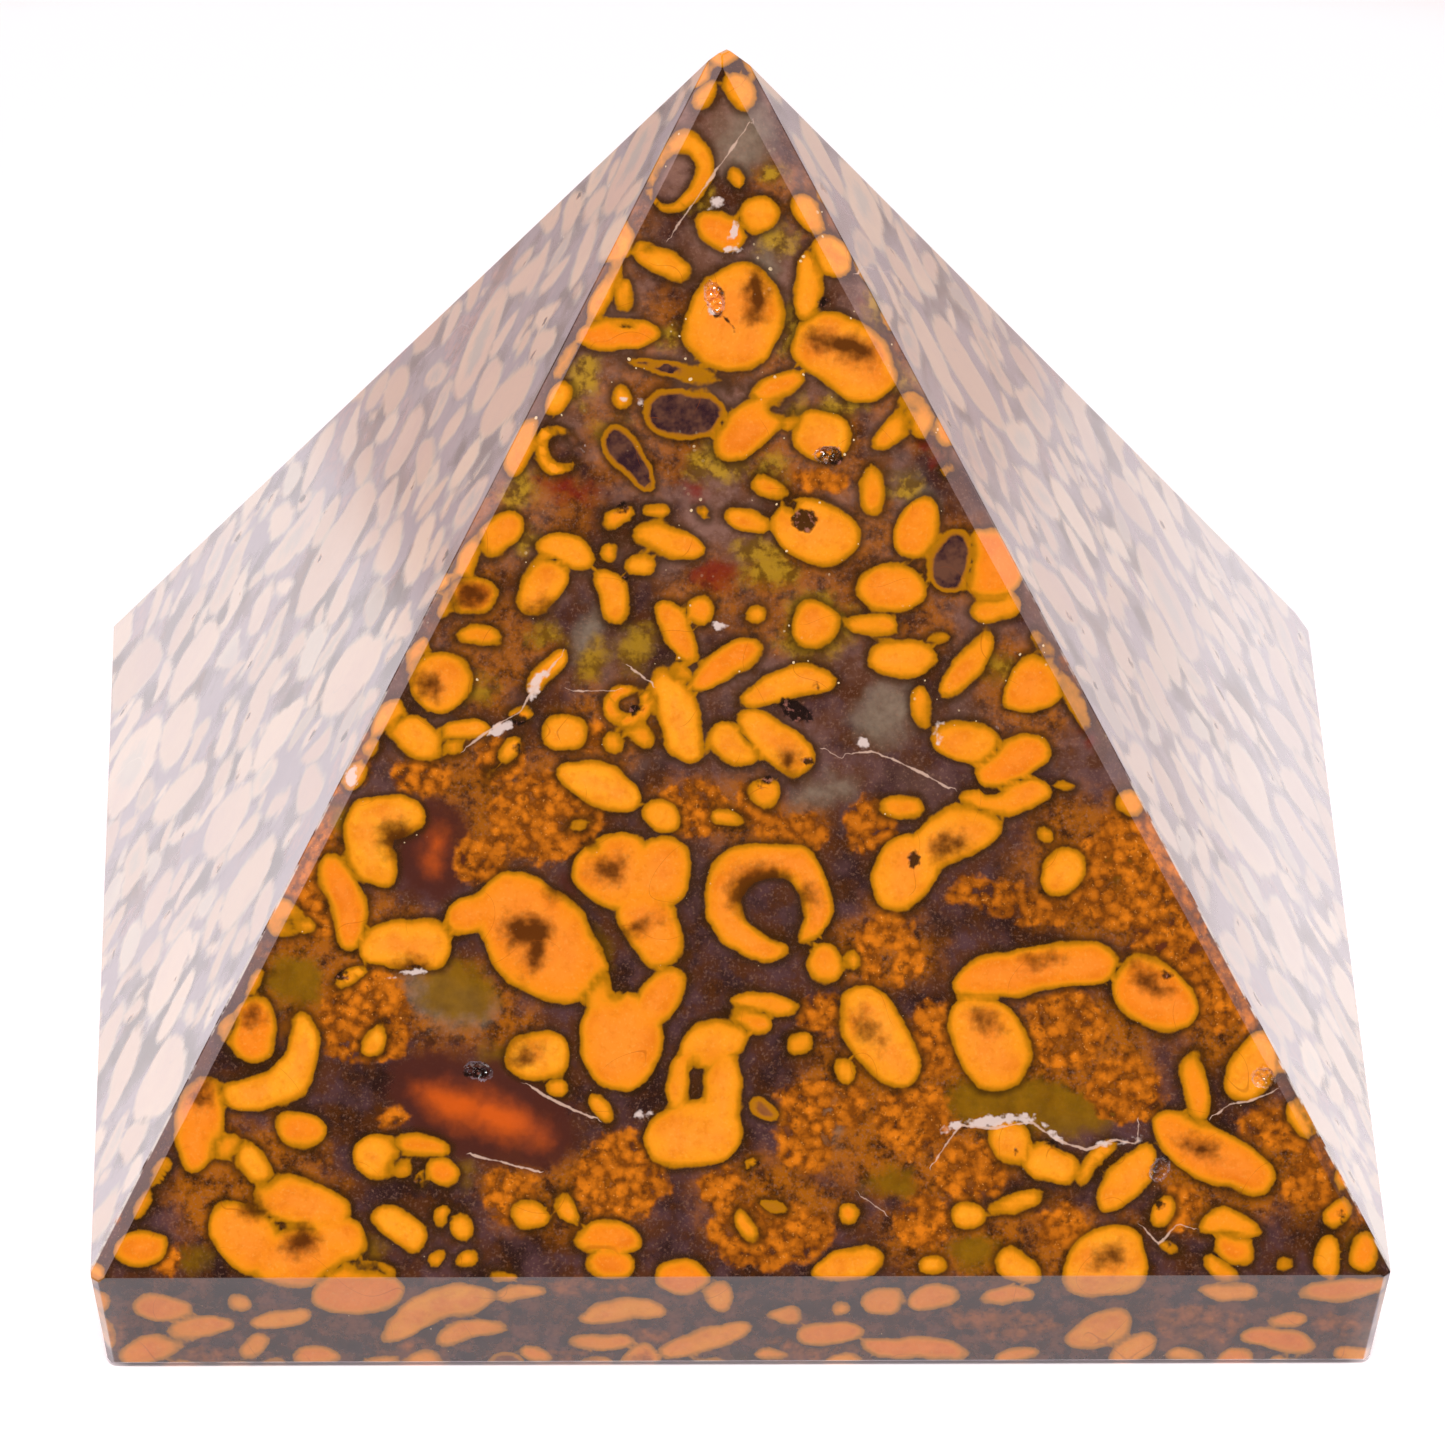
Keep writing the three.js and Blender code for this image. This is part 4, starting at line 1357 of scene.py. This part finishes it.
# %% [markdown]
# ## The pebbles
# Each pebble is bright orange inside, olive along its rim, with a thin brown halo in the
# quartz round it, and many have a dark core. All of these follow the one depth that the mesh
# carries, so they stay in step however the outline runs. No two pebbles have quite the same
# orange, and clouds, specks and a few dark veins keep their inside from looking painted. The
# few ghosts are only a thin shell, with the brown quartz inside.

# %% Colour the pebbles
DEPTH_SHIFT = 0.08
pebble_depth = frayed(frayed(measure("pebble"), 1.4, 0.2, 61.0), 5.0, 0.08, 67.0)
pebble_depth = calculate(tree, "ADD", pebble_depth, DEPTH_SHIFT)
colour = over(times(ramp(pebble_depth, -0.42, -0.02), 0.74), colour, hue(54, 30, 2))

bright = over(measure("warmth"), hue(255, 166, 34), hue(246, 132, 22))
bright = over(times(ramp(cloud(0.6, 5, 0.6, 71.0), 0.42, 0.72), 0.7), bright, hue(222, 110, 16))
heart = ramp(frayed(pebble_depth, 1.1, 0.8, 72.0, 4), 0.35, 1.2)
bright = over(times(heart, 0.45), bright, hue(255, 146, 54))
bright = over(times(ramp(cloud(2.6, 5, 0.7, 101.0), 0.48, 0.68), 0.42), bright, hue(226, 120, 16))
bright = over(times(ramp(cloud(6.0, 3, 0.7, 103.0), 0.5, 0.75), 0.2), bright, hue(255, 196, 96))
bright = over(ramp(pebble_depth, 0.1, 0.55), hue(238, 144, 16), bright)

ghost = over(ramp(cloud(0.9, 5, 0.7, 69.0), 0.38, 0.64), hue(52, 28, 34), hue(104, 66, 50))
ghost = over(ramp(pebble_depth, 0.32, 0.16), ghost, hue(168, 104, 22))
pebble_colour = over(measure("tone"), ghost, bright)
pebble_colour = over(ramp(pebble_depth, 0.02, 0.3), hue(172, 110, 2), pebble_colour)

core_share = ramp(frayed(measure("core"), 1.6, 1.3, 73.0, 5), -0.6, 0.4)
pebble_colour = over(times(core_share, 0.93), pebble_colour, hue(70, 30, 4))
vein = calculate(tree, "ABSOLUTE", minus(cloud(0.35, 0, 0.4, 75.0), 0.5))
vein_share = times(ramp(vein, 0.004, 0.001), ramp(cloud(0.3, 1, 0.5, 77.0), 0.48, 0.56))
pebble_colour = over(times(vein_share, 0.4), pebble_colour, hue(160, 74, 10))
pebble_share = ramp(pebble_depth, -0.05, 0.06)
colour = over(pebble_share, colour, pebble_colour)
print("With the pebbles it takes", len(tree.nodes), "nodes")

# %% [markdown]
# ## The hollows, crystals and cracks
# The floors of the hollows are painted dark as painted shade, with pale spots as painted
# glints of their crystals, and pale crystals also fill thin healed cracks. A crack could be a
# groove, but a polished crack is level with the face, so it is only a colour. Its width
# follows noise and is nil in places.

# %% Colour the hollows, crystals and cracks
# Painted shade on the floors of the holes, with pale painted glints of crystals
hole_shade = ramp(frayed(measure("hole"), 2.6, 0.5, 79.0, 4), -0.06, 0.1)
hole_shade_and_glints = over(ramp(cloud(3.5, 3, 0.6, 81.0), 0.54, 0.7), hue(24, 12, 10), hue(150, 96, 84))
colour = over(times(hole_shade, 0.93), colour, hole_shade_and_glints)
pale_share = ramp(frayed(measure("pale"), 2.4, 0.7, 83.0, 4), -0.04, 0.1)
colour = over(times(pale_share, 0.85), colour, hue(228, 206, 198))
crack_away = calculate(tree, "ABSOLUTE", frayed(measure("crack"), 2.2, 0.14, 89.0))
crack_width = ramp(cloud(1.1, 3, 0.6, 91.0), 0.36, 0.66, 0.02, 0.08)
crack_share = times(
    ramp(minus(crack_width, crack_away), -0.02, 0.04), ramp(measure("crack_near"), 0.45, 0.3),
)
colour = over(times(crack_share, 0.7), colour, hue(226, 190, 170))
print("With the cracks it takes", len(tree.nodes), "nodes")

# %% [markdown]
# ## The painted shade on the band, and the glints
# Below the brow the band leans inwards, so less light reaches it. Light alone darkens it less
# than on the real stone, so its rock is painted darker and greyer as painted shade. Small
# pale painted glints of crystals sit in the quartz, mostly along the pebbles' outlines and
# high up. Each is the middle of a round cell, as large as a slow noise allows there, so most
# cells stay empty.

# %% Paint shade on the band, and glints in the quartz
# Painted shade: the band below the brow is coloured darker and greyer
band_shade_share = times(ramp(height, 5.5, 5.35), graded(pebble_share, -0.4, 0.7))
band_shade_colour = over(ramp(cloud(0.9, 5, 0.7, 105.0), 0.4, 0.64), hue(34, 28, 34), hue(104, 62, 48))
colour = over(band_shade_share, colour, band_shade_colour)
# Painted glints: small pale spots in the quartz, most along the pebbles' outlines
glints = add_node(tree, "ShaderNodeTexVoronoi", {"Vector": place, "Scale": 2.2, "Randomness": 1.0})
glint_size = times(ramp(cloud(0.45, 3, 0.6, 95.0), 0.48, 0.66, 0.0, 0.2), graded(upper, 0.75, 0.25))
glint_away = frayed(glints.outputs["Distance"], 5.0, 0.3, 96.0)
on_outline = times(ramp(pebble_depth, -0.5, -0.1), ramp(pebble_depth, 0.3, 0.05))
glint_share = times(ramp(minus(glint_size, glint_away), -0.02, 0.05), graded(on_outline, 0.8, 0.1))
colour = over(glint_share, colour, hue(244, 214, 170))
print("With the band and the sparks it takes", len(tree.nodes), "nodes")

# %% [markdown]
# ## The painted sheen
# The sloping sides are seen almost along their surface, and there the stone looks milky
# with mirrored light. A rougher polish would also be milky, but it would lose the mirrored
# table. So the sheen is painted: a colour that comes in only where a face is looked at along
# its surface. It follows the pebbles softly and is a little weaker higher up. Along the two
# front edges a painted highlight shows as a broken pale line.

# %% Paint the sheen
# Painted sheen: pale colours laid on where a face is seen along its surface
facing = add_node(tree, "ShaderNodeLayerWeight", {"Blend": 0.5}).outputs["Facing"]
painted_sheen = over(ramp(cloud(0.25, 4, 0.6, 93.0), 0.36, 0.56), hue(82, 66, 72), hue(184, 168, 184))
pebble_sheen = over(measure("warmth"), hue(254, 240, 226), hue(226, 210, 196))
painted_sheen = over(ramp(frayed(pebble_depth, 0.6, 1.2, 94.0, 3), -0.3, 0.3), painted_sheen, pebble_sheen)
sheen_mottle = ramp(cloud(0.11, 3, 0.55, 98.0), 0.42, 0.62)
painted_sheen = over(times(sheen_mottle, 0.34), painted_sheen, hue(204, 190, 200))
sheen_share = times(ramp(facing, 0.3, 0.85), graded(upper, -0.15, 0.86))
colour = over(times(sheen_share, minus(1.0, hole_shade)), colour, painted_sheen)
# Painted highlight: a pale broken line along each front flat's border, weaker higher up
edge_highlight = times(ramp(measure("highlit"), 0.14, 0.05), ramp(cloud(0.5, 4, 0.7, 99.0), 0.42, 0.56))
colour = over(times(edge_highlight, graded(upper, -0.85, 0.85)), colour, hue(244, 234, 228))
print("With the veil it takes", len(tree.nodes), "nodes")

# %% [markdown]
# ## The polish
# Quartz takes a mirror polish, and rust a duller and slightly uneven one. A wax coat over
# both mirrors more along the surface than bare stone does, which shows the table in the
# sloping sides.

# %% Polish it
POLISH_ROUGHNESS = 0.075
RUST_ROUGHNESS = 0.08
UNEVENNESS = 0.35
relief = times(times(ramp(measure("rust"), -0.2, 0.16), cloud(5.0, 3, 0.7, 97.0)), UNEVENNESS)
bump = add_node(tree, "ShaderNodeBump", {"Strength": 0.25, "Distance": 0.06 * MM, "Height": relief})
roughness = graded(rust_share, RUST_ROUGHNESS, POLISH_ROUGHNESS)
surface = add_node(tree, "ShaderNodeBsdfPrincipled", {
    "Base Color": colour, "Roughness": roughness, "Normal": bump.outputs["Normal"], "IOR": 1.54,
    "Coat Weight": 1.0, "Coat Roughness": 0.04, "Coat IOR": 1.5,
})
tree.links.new(surface.outputs[0], output.inputs["Surface"])
print("The whole finish takes", len(tree.nodes), "nodes")

# %% [markdown]
# ## The stone in the frame
# The stone was ground in millimetres, and Blender's frame is in metres. Scaling the object
# would do, but the part's other files expect it unscaled and at the origin, so the mesh
# itself is scaled. Then it takes the place of the plain solid.

# %% Set the stone in the frame
stone_mesh.transform(Matrix.Scale(MM, 4))
stone_mesh.materials.append(jasper)
pyramid = bpy.data.objects.new("polished_pyramid", stone_mesh)
bpy.context.collection.objects.link(pyramid)
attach(pyramid, "root")
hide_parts("jasper_pyramid")
print("The stone has", len(stone_mesh.polygons), "triangles")

# %% [markdown]
# ## The last update
# The finished stone has to be as large as the plain solid. Last, the scene is brought up to
# date.

# %% Bring the scene up to date
bpy.context.view_layer.update()
